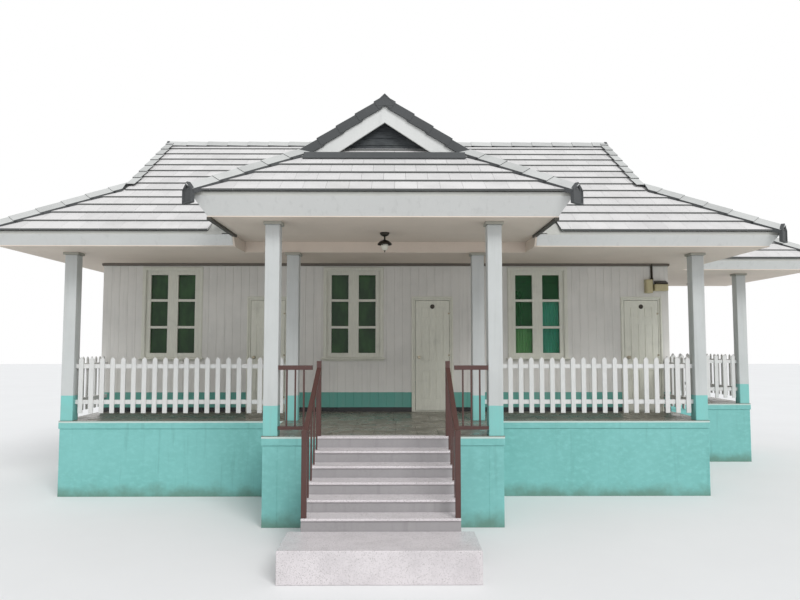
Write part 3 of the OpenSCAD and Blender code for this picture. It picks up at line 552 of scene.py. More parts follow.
# Glass colours: a painted reflection of greenery, and in the opaque glass painted shade of the rooms
REFLECTION_GLASS = glass_material("window_glass", srgb(24, 54, 26), srgb(42, 80, 38), 1.0)
CLEAR_REFLECTION_GLASS = glass_material("clear_glass_reflection", srgb(36, 104, 56), srgb(52, 120, 70), 0.3)
LAMP_GLASS = painted("lamp_glass", srgb(226, 224, 210), 0.2, dirt=0.8)
DARK_METAL = metal("dark_metal", srgb(70, 66, 60), 0.35)
BRIGHT_METAL = metal("bright_metal", srgb(168, 160, 140), 0.25)
METER_CASE = woodwork("meter_case", srgb(188, 178, 140), 0.4)
TEAL_COTTON = cotton("teal_cotton", srgb(116, 236, 218))
GREEN_COTTON = cotton("green_cotton", srgb(176, 232, 160))


# Roof tiles

def roof_tile():
    """One flat tile in the plane of a slope: eave towards -Y, the tile above laps over its head."""
    half = (TILE_W - TILE_JOINT) / 2
    tile = block("tile", (-half, 0, 0), (half, GAUGE + TILE_LAP, TILE_T))
    move_points(tile, lambda p: p.y < GAUGE / 2, (0, 0, TILE_T))
    bevel_edges(tile, lambda a, b: max(a.y, b.y) < GAUGE / 2 and min(a.z, b.z) > 1.5 * TILE_T, TILE_CHAMFER)
    # Faces turned forward or down take the second material: grime and painted shade
    second_material(tile, lambda p, n: min(n.y, n.z) < -0.5)
    return shrink_map(tile)


def cut_courses(obj, x, y, out_x, out_y, low=0.0, high=math.inf, side=0):
    """Cuts the courses whose run up the slope is from low to high; side keeps the cut to one half."""
    numbers = obj.data.uv_layers.active.data

    def inside(face):
        course = math.floor(numbers[face.loop_start].uv.y / MAP_STEP + MAP_ROUNDING)
        return low <= (course + 0.5) * GAUGE * math.cos(PITCH) < high and face.center.x * side >= 0

    mark(obj, "FACE", obj.data.polygons, inside)
    bpy.ops.mesh.bisect(plane_co=(x, y, 0), plane_no=(out_x, out_y, 0), clear_outer=True, use_fill=True)
    leave_edit()


def tiled(name, width, run, eave, turn, *cuts):
    """Courses of tiles on a slope that rises from its eave's middle towards turn, with its cuts made."""
    columns = math.ceil(width / TILE_W) + 1
    pairs = math.ceil(run / math.cos(PITCH) / GAUGE / 2)
    field = put(roof_tile(), (-TILE_W * columns / 2, -EAVE_LIP, 0))
    field.name = "tiles_" + name
    repeat(field, 2, (TILE_W / 2, GAUGE, 0), shift_v=MAP_STEP)
    repeat(field, columns, (TILE_W, 0, 0), shift_u=MAP_STEP)
    repeat(field, pairs, (0, 2 * GAUGE, 0), shift_v=2 * MAP_STEP)
    put(field, eave, (PITCH, 0, turn))
    for row in cuts:
        cut_courses(field, *row)
    dress(field, "roof_tile", TILE_FACE, TILE_EDGE_GRIME_AND_SHADE)


def main_tiles():
    """Tiles on the main roof's front, with a gap under the porch roof, and on its back."""
    verge, cuts = X_EAVE - X_VERGE, []
    for side in SIDES.values():
        cuts += [(side * X_EAVE, Y_EAVE, side, 1, 0, verge), (side * X_VERGE, 0, side, 0, verge),
                 (side * (PORCH_X - VALLEY_LAP), VALLEY_Y, -side, -1, 0, math.inf, side),
                 (side * (PORCH_X + CUT_BACK), 0, -side, 0, 0, GAUGE, side)]
    tiled("main_front", 2 * X_EAVE, Y_RIDGE - Y_EAVE, (0, Y_EAVE, Z_EAVE), 0, *cuts, (0, Y_RIDGE, 0, 1))
    tiled("back", WING_X + X_EAVE, Y_BACK_EAVE - Y_RIDGE, ((WING_X - X_EAVE) / 2, Y_BACK_EAVE, Z_EAVE),
          HALF_TURN, (-X_EAVE, Y_BACK_EAVE, -1, -1, 0, verge), (-X_VERGE, 0, -1, 0, verge),
          (WING_X, Y_BACK_EAVE, 1, -1, 0, WING_RUN), (X_VERGE, 0, 1, 0, WING_RUN), (0, Y_RIDGE, 0, -1))


def side_tiles(word, side):
    """Tiles on one end of the main roof, below its gable, and on one side of the porch roof."""
    turn, x, verge = side * QUARTER_TURN, side * X_EAVE, PORCH_VERGE_Y - PORCH_Y
    valley = [(X_EAVE, WING_Y + VALLEY_LAP, 1, 1)] if side > 0 else []
    tiled("hip_" + word, Y_BACK_EAVE - Y_EAVE, X_EAVE - X_GABLE, (x, Y_RIDGE, Z_EAVE), turn,
          (x, Y_EAVE, -side, -1), (x, Y_BACK_EAVE, -side, 1), (side * X_GABLE, 0, -side, 0), *valley)
    x = side * PORCH_X
    tiled("porch_" + word, Y_RIDGE - PORCH_Y, PORCH_X, (x, (Y_RIDGE + PORCH_Y) / 2, PORCH_EAVE_Z), turn,
          (x, PORCH_Y, -side, -1, 0, verge), (0, PORCH_VERGE_Y, 0, -1, verge),
          (x, VALLEY_Y + VALLEY_LAP, side, 1), (0, 0, -side, 0))


def low_tiles():
    """Tiles on the front of the porch roof, below its gable, and on the front and end of the terrace's."""
    tiled("porch_front", 2 * PORCH_X, PORCH_GABLE_Y - PORCH_Y, (0, PORCH_Y, PORCH_EAVE_Z), 0,
          (-PORCH_X, PORCH_Y, -1, 1), (PORCH_X, PORCH_Y, 1, 1), (0, PORCH_GABLE_Y, 0, 1))
    tiled("wing_front", WING_X - X_GABLE, WING_RUN, ((WING_X + X_GABLE) / 2, WING_Y, Z_EAVE), 0,
          (WING_X, WING_Y, 1, 1), (X_EAVE - VALLEY_LAP, WING_Y, -1, -1), (X_GABLE, 0, -1, 0),
          (0, WING_RIDGE_Y, 0, 1))
    tiled("wing_end", 2 * WING_RUN, WING_RUN, (WING_X, WING_RIDGE_Y, Z_EAVE), QUARTER_TURN,
          (WING_X, WING_Y, -1, -1), (WING_X, Y_BACK_EAVE, -1, 1))


def roof_tiles():
    """Tiles on all the slopes."""
    main_tiles()
    for word, side in SIDES.items():
        side_tiles(word, side)
    low_tiles()


# Ridge, hip and verge caps

CAP_W = 0.25
CAP_PEAK = 0.11
CAP_EDGE_H = 0.062
CAP_SHELL = 0.02
CAP_LIP = 0.002
CAP_LENGTH = 0.42
CAP_STEP = 0.012
CAP_REACH = 0.05
APEX_LAP = 0.06
VERGE_CAP_W = 0.15
VERGE_T = 0.02
VERGE_LEG_T = 0.03
VERGE_DROP = 0.06
VERGE_OVER = 0.035
VERGE_STEP = (0.008, 0.02)

# The tiles that close caps at a gable's peak, and at the foot of a hip, dark as painted shade in a cap's
# hollow end
END_T = 0.02
END_BORDER = 0.022
END_SEAT = 0.01
END_SIZE = (0.06, CAP_W / 2 + 0.01, CAP_PEAK + 0.02)
FOOT_SIZE = (0.19, 0.12, 0.1)


def cap_tile(fall):
    """One angled cap along +X over two slopes that fall away from it by fall; its low end is at 0."""
    half = CAP_W / 2
    cap = block("cap", (0, -half, 0), (CAP_LENGTH + TILE_LAP, half, CAP_SHELL))
    split(cap, (0, 0, 0), (0, 1, 0))
    move_points(cap, lambda p: abs(p.y) < half / 2, (0, 0, CAP_PEAK - CAP_SHELL))
    move_points(cap, lambda p: abs(p.y) > half / 2, (0, 0, TILE_TOP - fall * half))
    pick_faces(cap, lambda p, n: abs(n.y) > FACING)
    extrude()
    bpy.ops.transform.resize(value=(1, 1 + CAP_LIP / half, 1))
    leave_edit()
    pick_faces(cap, lambda p, n: n.z < -0.5 and abs(p.y) > half / 2)
    bpy.ops.transform.translate(value=(0, 0, CAP_SHELL - CAP_EDGE_H))
    leave_edit()
    move_points(cap, lambda p: p.x < CAP_LENGTH / 2, (0, 0, CAP_STEP))
    soften(cap, 0.005)
    # Faces that don't face up take the second material, painted shade
    second_material(cap, lambda p, n: n.z <= 0.5)
    return shrink_map(cap)


def cap_line(name, fall, length, start, pitch, turn):
    """A row of caps that starts at a point and rises by pitch towards turn."""
    line = cap_tile(fall)
    line.name = name
    repeat(line, math.ceil(length / CAP_LENGTH), (CAP_LENGTH, 0, 0), shift_u=MAP_STEP)
    return put(cut(line, (length, 0, 1, 0)), start, (0, -pitch, turn))


def finish_caps(obj):
    """Gives caps their face colour, and painted shade on their sides."""
    return dress(obj, "roof_cap", CAP_FACE, CAP_SHADE)


def closing_cap(name, place, turn, size=END_SIZE):
    """A peaked tile of a drop, half width and peak, facing +X before it is turned; dark as painted shade in
    a cap's hollow end.
    """
    drop, half, peak = size
    end = block(name, (-END_T, -half, -drop), (VERGE_OVER, half, 0))
    split(end, (0, 0, 0), (0, 1, 0))
    move_points(end, lambda p: abs(p.y) < half / 2 and p.z > -drop / 2, (0, 0, peak))
    step_faces(end, lambda p, n: n.x > FACING, END_BORDER, (-END_T, 0, 0))
    put(soften(end, 0.006), place, (0, 0, turn))
    dress(end, "roof_cap", CAP_SHADE)


def ridge_caps():
    """Caps along the three ridges, closed at their gables."""
    ends = X_VERGE + VERGE_OVER
    porch_start = PORCH_VERGE_Y - VERGE_OVER
    porch_back = Y_EAVE + (PORCH_RIDGE_Z - Z_EAVE) / RISE + VALLEY_LAP / 2
    rows = (("main", 2 * ends, (-ends, Y_RIDGE, Z_RIDGE), 0),
            ("wing", WING_APEX_X + APEX_LAP - ends, (ends, WING_RIDGE_Y, WING_RIDGE_Z), 0),
            ("porch", porch_back - porch_start, (0, porch_start, PORCH_RIDGE_Z), QUARTER_TURN))
    lines = [finish_caps(cap_line("caps_" + word + "_ridge", RISE, length, start, 0, turn))
             for word, length, start, turn in rows]
    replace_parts(lines[0], "ridge_caps")
    closing_cap("cap_end_right", (X_VERGE + END_SEAT, Y_RIDGE, Z_RIDGE), 0)
    closing_cap("cap_end_left", (-X_VERGE - END_SEAT, Y_RIDGE, Z_RIDGE), HALF_TURN)
    closing_cap("cap_end_porch", (0, PORCH_VERGE_Y - END_SEAT, PORCH_RIDGE_Z), -QUARTER_TURN)


def hip_line(word, corner, degrees, run, plane):
    """Caps up a hip from past its corner to an upright plane, with a foot tile dark as painted shade."""
    turn = math.radians(degrees)
    plan = CAP_REACH * math.cos(HIP_PITCH)
    start = [corner[X] - plan * math.cos(turn), corner[Y] - plan * math.sin(turn),
             corner[Z] - CAP_REACH * math.sin(HIP_PITCH)]
    length = run * math.sqrt(2) / math.cos(HIP_PITCH) + CAP_REACH
    line = cap_line("caps_" + word, math.sin(HIP_PITCH), length, start, HIP_PITCH, turn)
    start[Z] += TILE_TOP - END_SEAT
    closing_cap("cap_foot_" + word, start, turn + HALF_TURN, FOOT_SIZE)
    return finish_caps(cut(line, plane))


def hip_caps():
    """Caps up the seven hips."""
    run, porch_run = X_EAVE - X_GABLE, PORCH_GABLE_Y - PORCH_Y
    verge, porch_end = X_VERGE + VERGE_OVER, PORCH_VERGE_Y - VERGE_OVER
    rows = (("hip_front_left", (-X_EAVE, Y_EAVE, Z_EAVE), 45, run, (-verge, 0, 1, 0)),
            ("hip_front_right", (X_EAVE, Y_EAVE, Z_EAVE), 135, run, (verge, 0, -1, 0)),
            ("hip_back_left", (-X_EAVE, Y_BACK_EAVE, Z_EAVE), -45, run, (-verge, 0, 1, 0)),
            ("porch_left", (-PORCH_X, PORCH_Y, PORCH_EAVE_Z), 45, porch_run, (0, porch_end, 0, 1)),
            ("porch_right", (PORCH_X, PORCH_Y, PORCH_EAVE_Z), 135, porch_run, (0, porch_end, 0, 1)),
            ("wing_front", (WING_X, WING_Y, Z_EAVE), 135, WING_RUN, (WING_APEX_X, 0, -1, 0)),
            ("wing_back", (WING_X, Y_BACK_EAVE, Z_EAVE), -135, WING_RUN, (WING_APEX_X, 0, -1, 0)))
    lines = [hip_line(*row) for row in rows]
    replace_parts(lines[0], "hip_caps")


def verge_tile(side):
    """One verge cap in a slope's plane: a flat top, and a leg turned down on the side that is outside."""
    outer = side * VERGE_OVER
    leg = outer - side * VERGE_LEG_T
    low_x, high_x = sorted((outer, leg))
    tile = block("verge", (low_x, 0, -VERGE_DROP), (high_x, GAUGE + TILE_LAP, TILE_TOP + VERGE_T))
    split(tile, (0, 0, TILE_TOP), (0, 0, 1))
    pick_faces(tile, lambda p, n: n.x * side < -FACING and p.z > TILE_TOP)
    extrude((outer - side * VERGE_CAP_W - leg, 0, 0))
    leave_edit()
    move_points(tile, lambda p: p.y < GAUGE / 2, (side * VERGE_STEP[0], 0, VERGE_STEP[1]))
    soften(tile, 0.004, 1)
    # The sides and the turned-down leg take the second material, painted shade
    second_material(tile, lambda p, n: n.z <= 0.5)
    return shrink_map(tile)


def verge_line(name, side, eave, turn, first, last, along):
    """Verge caps up a slope from the run first to the run last, at a place along its eave."""
    line = verge_tile(side)
    line.name = name
    repeat(line, math.ceil((last - first) / math.cos(PITCH) / GAUGE), (0, GAUGE, 0), shift_v=MAP_STEP)
    put(line, (along, first / math.cos(PITCH), 0))
    return put(line, eave, (PITCH, 0, turn))


def verge_caps():
    """Caps down the verges of the three gables."""
    first, run = X_EAVE - X_VERGE, Y_RIDGE - Y_EAVE
    for word, side in SIDES.items():
        front = verge_line("verge_front_" + word, side, (0, Y_EAVE, Z_EAVE), 0, first, run, side * X_VERGE)
        finish_caps(cut(front, (0, Y_RIDGE, 0, 1)))
        low = first if side < 0 else WING_RUN
        back = verge_line("verge_back_" + word, -side, (0, Y_BACK_EAVE, Z_EAVE), HALF_TURN, low, run,
                          -side * X_VERGE)
        finish_caps(cut(back, (0, Y_RIDGE, 0, -1)))
        porch = verge_line("verge_porch_" + word, -side, (side * PORCH_X, 0, PORCH_EAVE_Z),
                           side * QUARTER_TURN, PORCH_VERGE_Y - PORCH_Y, PORCH_X, side * PORCH_VERGE_Y)
        finish_caps(cut(porch, (0, 0, -side, 0)))


FLASHING_RUN = 0.17
FLASHING_T = 0.012
FLASHING_SEAT = 0.01
FLASHING_LIFT = 0.03
FLASHING_END = 0.1
FLASHING_DOWN = 0.07


def flashing(word, eave, turn, run, gable_w):
    """A strip that lies on the tiles in front of a gable, dark as painted shade."""
    along = run / math.cos(PITCH)
    half = gable_w / 2 + FLASHING_END
    piece = block("flashing_" + word, (-half, along - FLASHING_RUN, TILE_TOP - FLASHING_SEAT),
                  (half, along, TILE_TOP + FLASHING_T))
    move_points(piece, lambda p: p.y > along - FLASHING_RUN / 2, (0, 0, FLASHING_LIFT))
    put(soften(piece, 0.005), eave, (PITCH, 0, turn))
    dress(piece, "roof_cap", CAP_SHADE)


def flashings():
    """Flashing in front of the three gables."""
    porch_w = 2 * (PORCH_X - PORCH_GABLE_Y + PORCH_Y)
    flashing("porch", (0, PORCH_Y, PORCH_EAVE_Z), 0, PORCH_VERGE_Y - PORCH_Y - FLASHING_DOWN, porch_w)
    gable_w = Y_BACK_EAVE - Y_EAVE - 2 * (X_EAVE - X_GABLE)
    for word, side in SIDES.items():
        flashing(word, (side * X_EAVE, Y_RIDGE, Z_EAVE), side * QUARTER_TURN, X_EAVE - X_VERGE, gable_w)


# Camera, floor and light

def camera():
    """The camera of the photograph."""
    turn = (QUARTER_TURN + CAMERA_UP, 0, -CAMERA_RIGHT)
    bpy.ops.object.camera_add(location=CAMERA_PLACE, rotation=turn)
    view = bpy.context.object
    view.data.lens = CAMERA_LENS
    view.data.sensor_width = SENSOR_W
    view.data.clip_end = VIEW_END
    bpy.context.scene.camera = view


def sky(tree):
    """Shows as white to the camera, to gloss and through glass, and as daylight to the light."""
    world = Nodes(tree)
    rays = world.add("LightPath", {}).outputs
    seen = world.math("MAXIMUM", rays["Is Camera Ray"], rays["Is Glossy Ray"])
    seen = world.math("MAXIMUM", seen, rays["Is Transmission Ray"])
    daylight = tree.nodes["Background"]
    world.feed(daylight, {"Color": (*SKY, 1), "Strength": SKY_STRENGTH})
    white = world.add("Background", {"Color": (1, 1, 1, 1)})
    mix = world.add("MixShader", {0: seen, 1: daylight.outputs[0], 2: white.outputs[0]})
    world.feed(tree.nodes["World Output"], {"Surface": mix.outputs[0]})


def stage_floor():
    """A pale floor that keeps the house's shadow."""
    bpy.ops.mesh.primitive_plane_add(size=STAGE_SIZE, location=(0, 0, 0))
    floor = bpy.context.object
    floor.name = "stage_floor"
    plain = Surface("stage_floor", 0.9, specular=0.1)
    tone = plain.blend(plain.noise(EVEN, 0.4), (0.78, 0.78, 0.78), (0.84, 0.84, 0.84))
    plain.feed(plain.shader, {"Base Color": tone})
    floor.data.materials.append(plain.material)


def studio():
    """The camera, soft daylight from a white sky with two weak suns, and the floor."""
    camera()
    scene = bpy.context.scene
    scene.world = scene.world or bpy.data.worlds.new("sky")
    scene.world.use_nodes = True
    sky(scene.world.node_tree)
    for name, (place, energy, spread) in SUNS.items():
        bpy.ops.object.light_add(type="SUN", location=place)
        lamp = bpy.context.object
        lamp.name = name
        lamp.data.energy = energy
        lamp.data.angle = math.radians(spread)
        lamp.rotation_euler = (Vector(place) - Vector(LIT_POINT)).to_track_quat("Z", "Y").to_euler()
    scene.view_settings.view_transform = "Standard"
    stage_floor()


# Places of the walls, doors and windows, with the sizes of their trim

X_HOUSE = -least("end_walls", X)
Y_WALL = least("front_wall_1", Y)
WALL_T = most("front_wall_1", Y) - Y_WALL
Y_BACK = most("back_wall", Y)
Y_SIDE = (Y_WALL + Y_BACK) / 2
HALF_SIDE = (Y_BACK - Y_WALL) / 2
Z_CEILING = least("ceiling_main", Z)
Z_PORCH_CEILING = least("ceiling_porch", Z)
PORCH_HALF = most("porch_columns", X)
DECK_LIP = most("deck_house", X) - X_HOUSE
Y_WING = most("fence_wing_front", Y) - 0.1
DOOR_W = 0.72
DOOR_H = 2.1
LEAF_W = 0.626
LEAF_T = 0.04
DOORS = {word: least("door_" + word, X) + LEAF_W / 2 for word in ("left", "middle", "right")}
WINDOW_W = 1.0
WINDOW_H = 1.63
WINDOW_Z = least("window_frames", Z)
WINDOWS = {"left": 1.28 - X_HOUSE, "middle": -0.615, "right": X_HOUSE - 2.44}
FENCES = ("front_left", "front_right", "side_left", "side_right", "wing_front", "wing_side", "wing_back")
BOARD_W = 0.15
BOARD_T = 0.008
BOARD_JOINT = 0.001
BOARD_IN = 0.002
BOARD_CHAMFER = 0.003
CASING_W = 0.07
CASING_T = 0.018
CASING_LAP = 0.01
CASING_RAISE = 0.006
CASING_BORDER = 0.012
DOOR_CASING_W = 0.035
DOOR_CASING_OUT = 0.025
DOOR_CASING_BORDER = 0.008
SILL_SIDE = 0.03
SILL_LOW = 0.03
SILL_TOP = 0.005
SILL_OUT = 0.06
SILL_IN = 0.01
SILL_FALL = 0.012
CORNICE_H = 0.05
CORNICE_OUT = 0.045
SKIRTING_H = 0.085
SKIRTING_OUT = 0.02
STRIP_ROUNDING = 0.6

# Each wall's own frame: the middle of its outer face at the ground, its turn, and half its length
WALL_FACES = {"front": ((0, Y_WALL, 0), 0, X_HOUSE), "back": ((0, Y_BACK, 0), HALF_TURN, X_HOUSE),
              "left": ((-X_HOUSE, Y_SIDE, 0), -QUARTER_TURN, HALF_SIDE),
              "right": ((X_HOUSE, Y_SIDE, 0), QUARTER_TURN, HALF_SIDE)}


# Finished copies of the plain parts

def finished(node, slot, *materials, width=0.003, segments=2, body=HOUSE, reshape=None):
    """A copy of a node with whole flat faces and softened edges, shown in the node's place."""
    copy = bpy.data.objects.new(node + "_finished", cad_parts[node].data.copy())
    bpy.context.scene.collection.objects.link(copy)
    edit_all(copy)
    bpy.ops.mesh.remove_doubles(threshold=0.0001)
    bpy.ops.mesh.dissolve_limited(angle_limit=FLAT_ANGLE)
    leave_edit()
    if reshape:
        reshape(copy)
    dress(soften(copy, width, segments), slot, *materials, body=body)
    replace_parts(copy, node)


def finish_nodes():
    """Gives the nodes that stay as they are their materials."""
    walls_shown = ("front_wall_1", "front_wall_2", "front_wall_3", "front_wall_4", "walls_over_doors",
                   "back_wall", "end_walls")
    roofs = ("main_front", "main_back", "hips", "porch_left", "porch_right", "porch_front", "wing")
    stays = {STEP_BODY: ("stair_base",), WALL_PAINT: walls_shown, GABLE_BOARDS: ("gable_panels",),
             UNDERLAY: ["roof_" + word for word in roofs]}
    for material, names in stays.items():
        for name in names:
            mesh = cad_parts[name].data
            mesh.materials.clear()
            mesh.materials.append(material)


def joint_on_top(obj):
    """Gives the top of a deck the colour of the joints between its tiles."""
    second_material(obj, lambda p, n: n.z > FACING and p.z > FLOOR - 0.01)


def metal_fittings(obj):
    """Gives a door's knobs and hinges metal, and leaves its leaf painted."""
    second_material(obj, lambda p, n: not Y_WALL - TOLERANCE <= p.y <= Y_WALL + LEAF_T + TOLERANCE)


def clear_pane(obj):
    """Gives the panes of the right front window the clearer glass."""
    second_material(obj, lambda p, n: abs(p.x - WINDOWS["right"]) < WINDOW_W / 2 and p.y < Y_WALL + WALL_T)


def finish_copies():
    """Makes the softened copies, apart from the soffits and the window glass."""
    finished("stair_treads", "stair_stone", STEP_STONE, width=0.008, segments=3)
    finished("stair_landing", "stair_stone", STEP_STONE, width=0.01, segments=3)
    for word in ("porch", "veranda"):
        finished(word + "_columns", "column_paint", COLUMN_PAINT, width=0.012, segments=3)
    # The plates are darker grey, painted shade
    finished("column_plates", "column_paint", PLATE_SHADE_PAINT, width=0.006)
    for word in ("cross", "end"):
        finished("plinth_" + word + "_walls", "plinth_render", PLINTH)
    for word in ("house", "porch", "wing"):
        finished("deck_" + word, "plinth_render", PLINTH, FLOOR_JOINT, width=0.006, reshape=joint_on_top)
    finished("barge_boards", "trim_paint", TRIM, width=0.005, reshape=deepen_barges)
    for word in FENCES:
        finished("fence_" + word, "fence_paint", FENCE_PAINT, segments=1)
    for word in ("porch", "stair"):
        finished(word + "_rails", "rail_paint", RAIL_PAINT)
    finished("door_frames", "joinery_paint", JOINERY)
    finished("window_frames", "joinery_paint", FRAME_PAINT)
    for word in DOORS:
        finished("door_" + word, "joinery_paint", JOINERY, BRIGHT_METAL, body="door_" + word,
                 reshape=metal_fittings)


# Boarded walls, casings and trim

def to_wall(obj, face):
    """Moves obj from a wall's own frame to its place on that wall."""
    place, turn, _ = WALL_FACES[face]
    return put(obj, place, (0, 0, turn))


def boards(x0, x1, z0, z1):
    """Upright boards with chamfered edges that cover a rectangle of a wall, laid out from its middle."""
    first = math.floor(x0 / BOARD_W)
    count = math.ceil(x1 / BOARD_W) - first
    left, right = first * BOARD_W, (first + 1) * BOARD_W - BOARD_JOINT
    field = block("boards", (left, -BOARD_T, z0), (right, BOARD_IN, z1))
    bevel_edges(field, lambda a, b: max(a.y, b.y) < 0 and abs(a.x - b.x) < TOLERANCE, BOARD_CHAMFER)
    repeat(field, count, (BOARD_W, 0, 0))
    return cut(field, (x0, 0, -1, 0), (x1, 0, 1, 0))


def boarding(face, holes):
    """Boards all over a wall's face, round its windows and doors."""
    half = WALL_FACES[face][2]
    rows, x = [], -half
    for left, right, low, high in sorted(holes):
        rows += [(x, left, FLOOR, Z_CEILING), (left, right, high, Z_CEILING)]
        if low > FLOOR:
            rows.append((left, right, FLOOR, low))
        x = right
    rows.append((x, half, FLOOR, Z_CEILING))
    parts = [boards(*row) for row in rows if row[1] - row[0] > 0.01]
    dress(to_wall(join("boarding_" + face, parts), face), "wall_paint", WALL_PAINT)


def ring(name, low, high, width):
    """A flat frame of one width round an opening, facing -Y, with its outer corners at low and high."""
    edge = block(name, low, high)
    for facing in (-1, 1):
        pick_faces(edge, lambda p, n: n.y * facing > FACING)
        bpy.ops.mesh.inset(thickness=width)
        bpy.ops.mesh.delete(type="FACE")
        leave_edit()
    mark(edge, "EDGE", (), None)
    bpy.ops.mesh.select_non_manifold()
    bpy.ops.mesh.bridge_edge_loops()
    leave_edit()
    return edge


def moulded(piece, border):
    """Raises the front of a flat frame in a second, narrower step."""
    front = min(point.co.y for point in piece.data.vertices)
    step_faces(piece, lambda p, n: n.y < -FACING and p.y < front + TOLERANCE, border, (0, -CASING_RAISE, 0))
    return soften(piece, 0.0025)


def window_trim(face, word, x):
    """Casing and sill round one window."""
    out = CASING_W - CASING_LAP
    half = WINDOW_W / 2 + out
    casing = moulded(ring("casing", (x - half, -CASING_T, WINDOW_Z - out),
                          (x + half, 0, WINDOW_Z + WINDOW_H + out), CASING_W), CASING_BORDER)
    sill = block("sill", (x - half - SILL_SIDE, -SILL_OUT, WINDOW_Z - SILL_LOW),
                 (x + half + SILL_SIDE, SILL_IN, WINDOW_Z + SILL_TOP))
    move_points(sill, lambda p: p.y < -SILL_OUT / 2 and p.z > WINDOW_Z, (0, 0, -SILL_FALL))
    soften(sill, 0.006, 3)
    trim = to_wall(join("window_trim_" + face + "_" + word, [casing, sill]), face)
    dress(trim, "joinery_paint", FRAME_PAINT)


def door_trim(word, x):
    """Casing round one doorway."""
    half = DOOR_W / 2 + DOOR_CASING_OUT
    casing = ring("door_trim_" + word, (x - half, -CASING_T, FLOOR - DOOR_CASING_W),
                  (x + half, 0, FLOOR + DOOR_H + DOOR_CASING_OUT), DOOR_CASING_W)
    dress(to_wall(moulded(casing, DOOR_CASING_BORDER), "front"), "joinery_paint", JOINERY)


def window_hole(x):
    """The rectangle that a window and its casing take from the boards."""
    half = WINDOW_W / 2 + CASING_W / 2
    return (x - half, x + half, WINDOW_Z - CASING_W / 2, WINDOW_Z + WINDOW_H + CASING_W / 2)


def door_hole(x):
    """The rectangle that a door and its casing take from the boards."""
    half = DOOR_W / 2 + DOOR_CASING_OUT / 2
    return (x - half, x + half, FLOOR, FLOOR + DOOR_H + DOOR_CASING_OUT / 2)


def strip(name, face, x0, x1, low, high, out, round_z):
    """A strip along a wall, with the front edge at one level rounded off."""
    piece = block(name, (x0, -out, low), (x1, 0, high))
    bevel_edges(piece, lambda a, b: max(abs(a.z - round_z), abs(b.z - round_z)) < TOLERANCE
                and max(a.y, b.y) < 0, STRIP_ROUNDING * min(out, high - low), 4)
    return to_wall(piece, face)


def skirting(name, face, x0, x1):
    """A skirting board between two places along a wall."""
    top = FLOOR + SKIRTING_H
    return strip(name, face, x0, x1, FLOOR, top, SKIRTING_OUT, top)


def wall_trim():
    """Cornices at the heads of the walls, dark brown in part as a painted shadow line under the soffit, and
    skirtings at their feet.
    """
    low = Z_CEILING - CORNICE_H
    for face, (_, _, half) in WALL_FACES.items():
        cornice = strip("cornice_" + face, face, -half, half, low, Z_CEILING, CORNICE_OUT, low)
        dress(cornice, "trim_paint", CORNICE_SHADOW_PAINT)
    edges = [-X_HOUSE]
    for x in sorted(DOORS.values()):
        edges += [x - DOOR_W / 2 - DOOR_CASING_OUT, x + DOOR_W / 2 + DOOR_CASING_OUT]
    edges.append(X_HOUSE)
    runs = [skirting("run", "front", a, b) for a, b in zip(edges[::2], edges[1::2])]
    dress(join("skirting_front", runs), "wall_paint", SKIRTING)
    right = skirting("skirting_right", "right", HALF_SIDE - (Y_BACK - Y_WING), HALF_SIDE)
    dress(right, "wall_paint", SKIRTING)


def walls():
    """Boards, casings, cornices and skirtings of all four walls."""
    holes = [window_hole(x) for x in WINDOWS.values()]
    boarding("front", holes + [door_hole(x) for x in DOORS.values()])
    boarding("back", [window_hole(-x) for x in WINDOWS.values()])
    for face in SIDES:
        boarding(face, [window_hole(0)])
        window_trim(face, "side", 0)
    for word, x in WINDOWS.items():
        window_trim("front", word, x)
        window_trim("back", word, -x)
    for word, x in DOORS.items():
        door_trim(word, x)
    wall_trim()


# Eave boards and soffits: the boards lean in, square to the slope above them

EAVE_T = 0.03
PORCH_BOARD_TOP = most("fascia_cross", Z) - EAVE_T * RISE
PORCH_BOARD_H = PORCH_BOARD_TOP - Z_PORCH_CEILING
PORCH_LEAN = PORCH_BOARD_H * RISE
BOARD_TOP = Z_EAVE - (PORCH_EAVE_Z - PORCH_BOARD_TOP)
BOARD_H = BOARD_TOP - Z_CEILING
LEAN = BOARD_H * RISE
SOFFIT_LAP = 0.01
SOFFIT_IN = LEAN - EAVE_T - SOFFIT_LAP
PORCH_IN = PORCH_LEAN - EAVE_T - SOFFIT_LAP
RETURN_IN = PORCH_LEAN - 2 * SOFFIT_LAP
RETURN_X = PORCH_X - RETURN_IN
PORCH_BOARD_BACK = Y_EAVE + 0.4
BEAD_W = 0.06
BEAD_DOWN = 0.035
BEAD_UP = 0.004
NEAR = 0.1
BARGE_DROP = 0.055


def eave_sheet(name, low, high, z):
    """A flat sheet between two corners, at the level of the boards' top edge."""
    bpy.ops.mesh.primitive_plane_add(size=1)
    return started(name, (*middle(low, high), z), (high[X] - low[X], high[Y] - low[Y], 1))


def rake(sheet, height):
    """Turns a flat sheet into a ring of boards that lean inwards."""
    pick_faces(sheet, lambda p, n: True)
    bpy.ops.mesh.inset(thickness=height * RISE, depth=-height)
    bpy.ops.mesh.delete(type="ONLY_FACE")
    bpy.ops.mesh.select_all(action="SELECT")
    bpy.ops.mesh.flip_normals()
    leave_edit()


def thicken(sheet):
    """Gives the boards their thickness and finish."""
    modify(sheet, "SOLIDIFY", thickness=EAVE_T, offset=-1, use_even_offset=True)
    return dress(soften(sheet, 0.005), "trim_paint", TRIM)


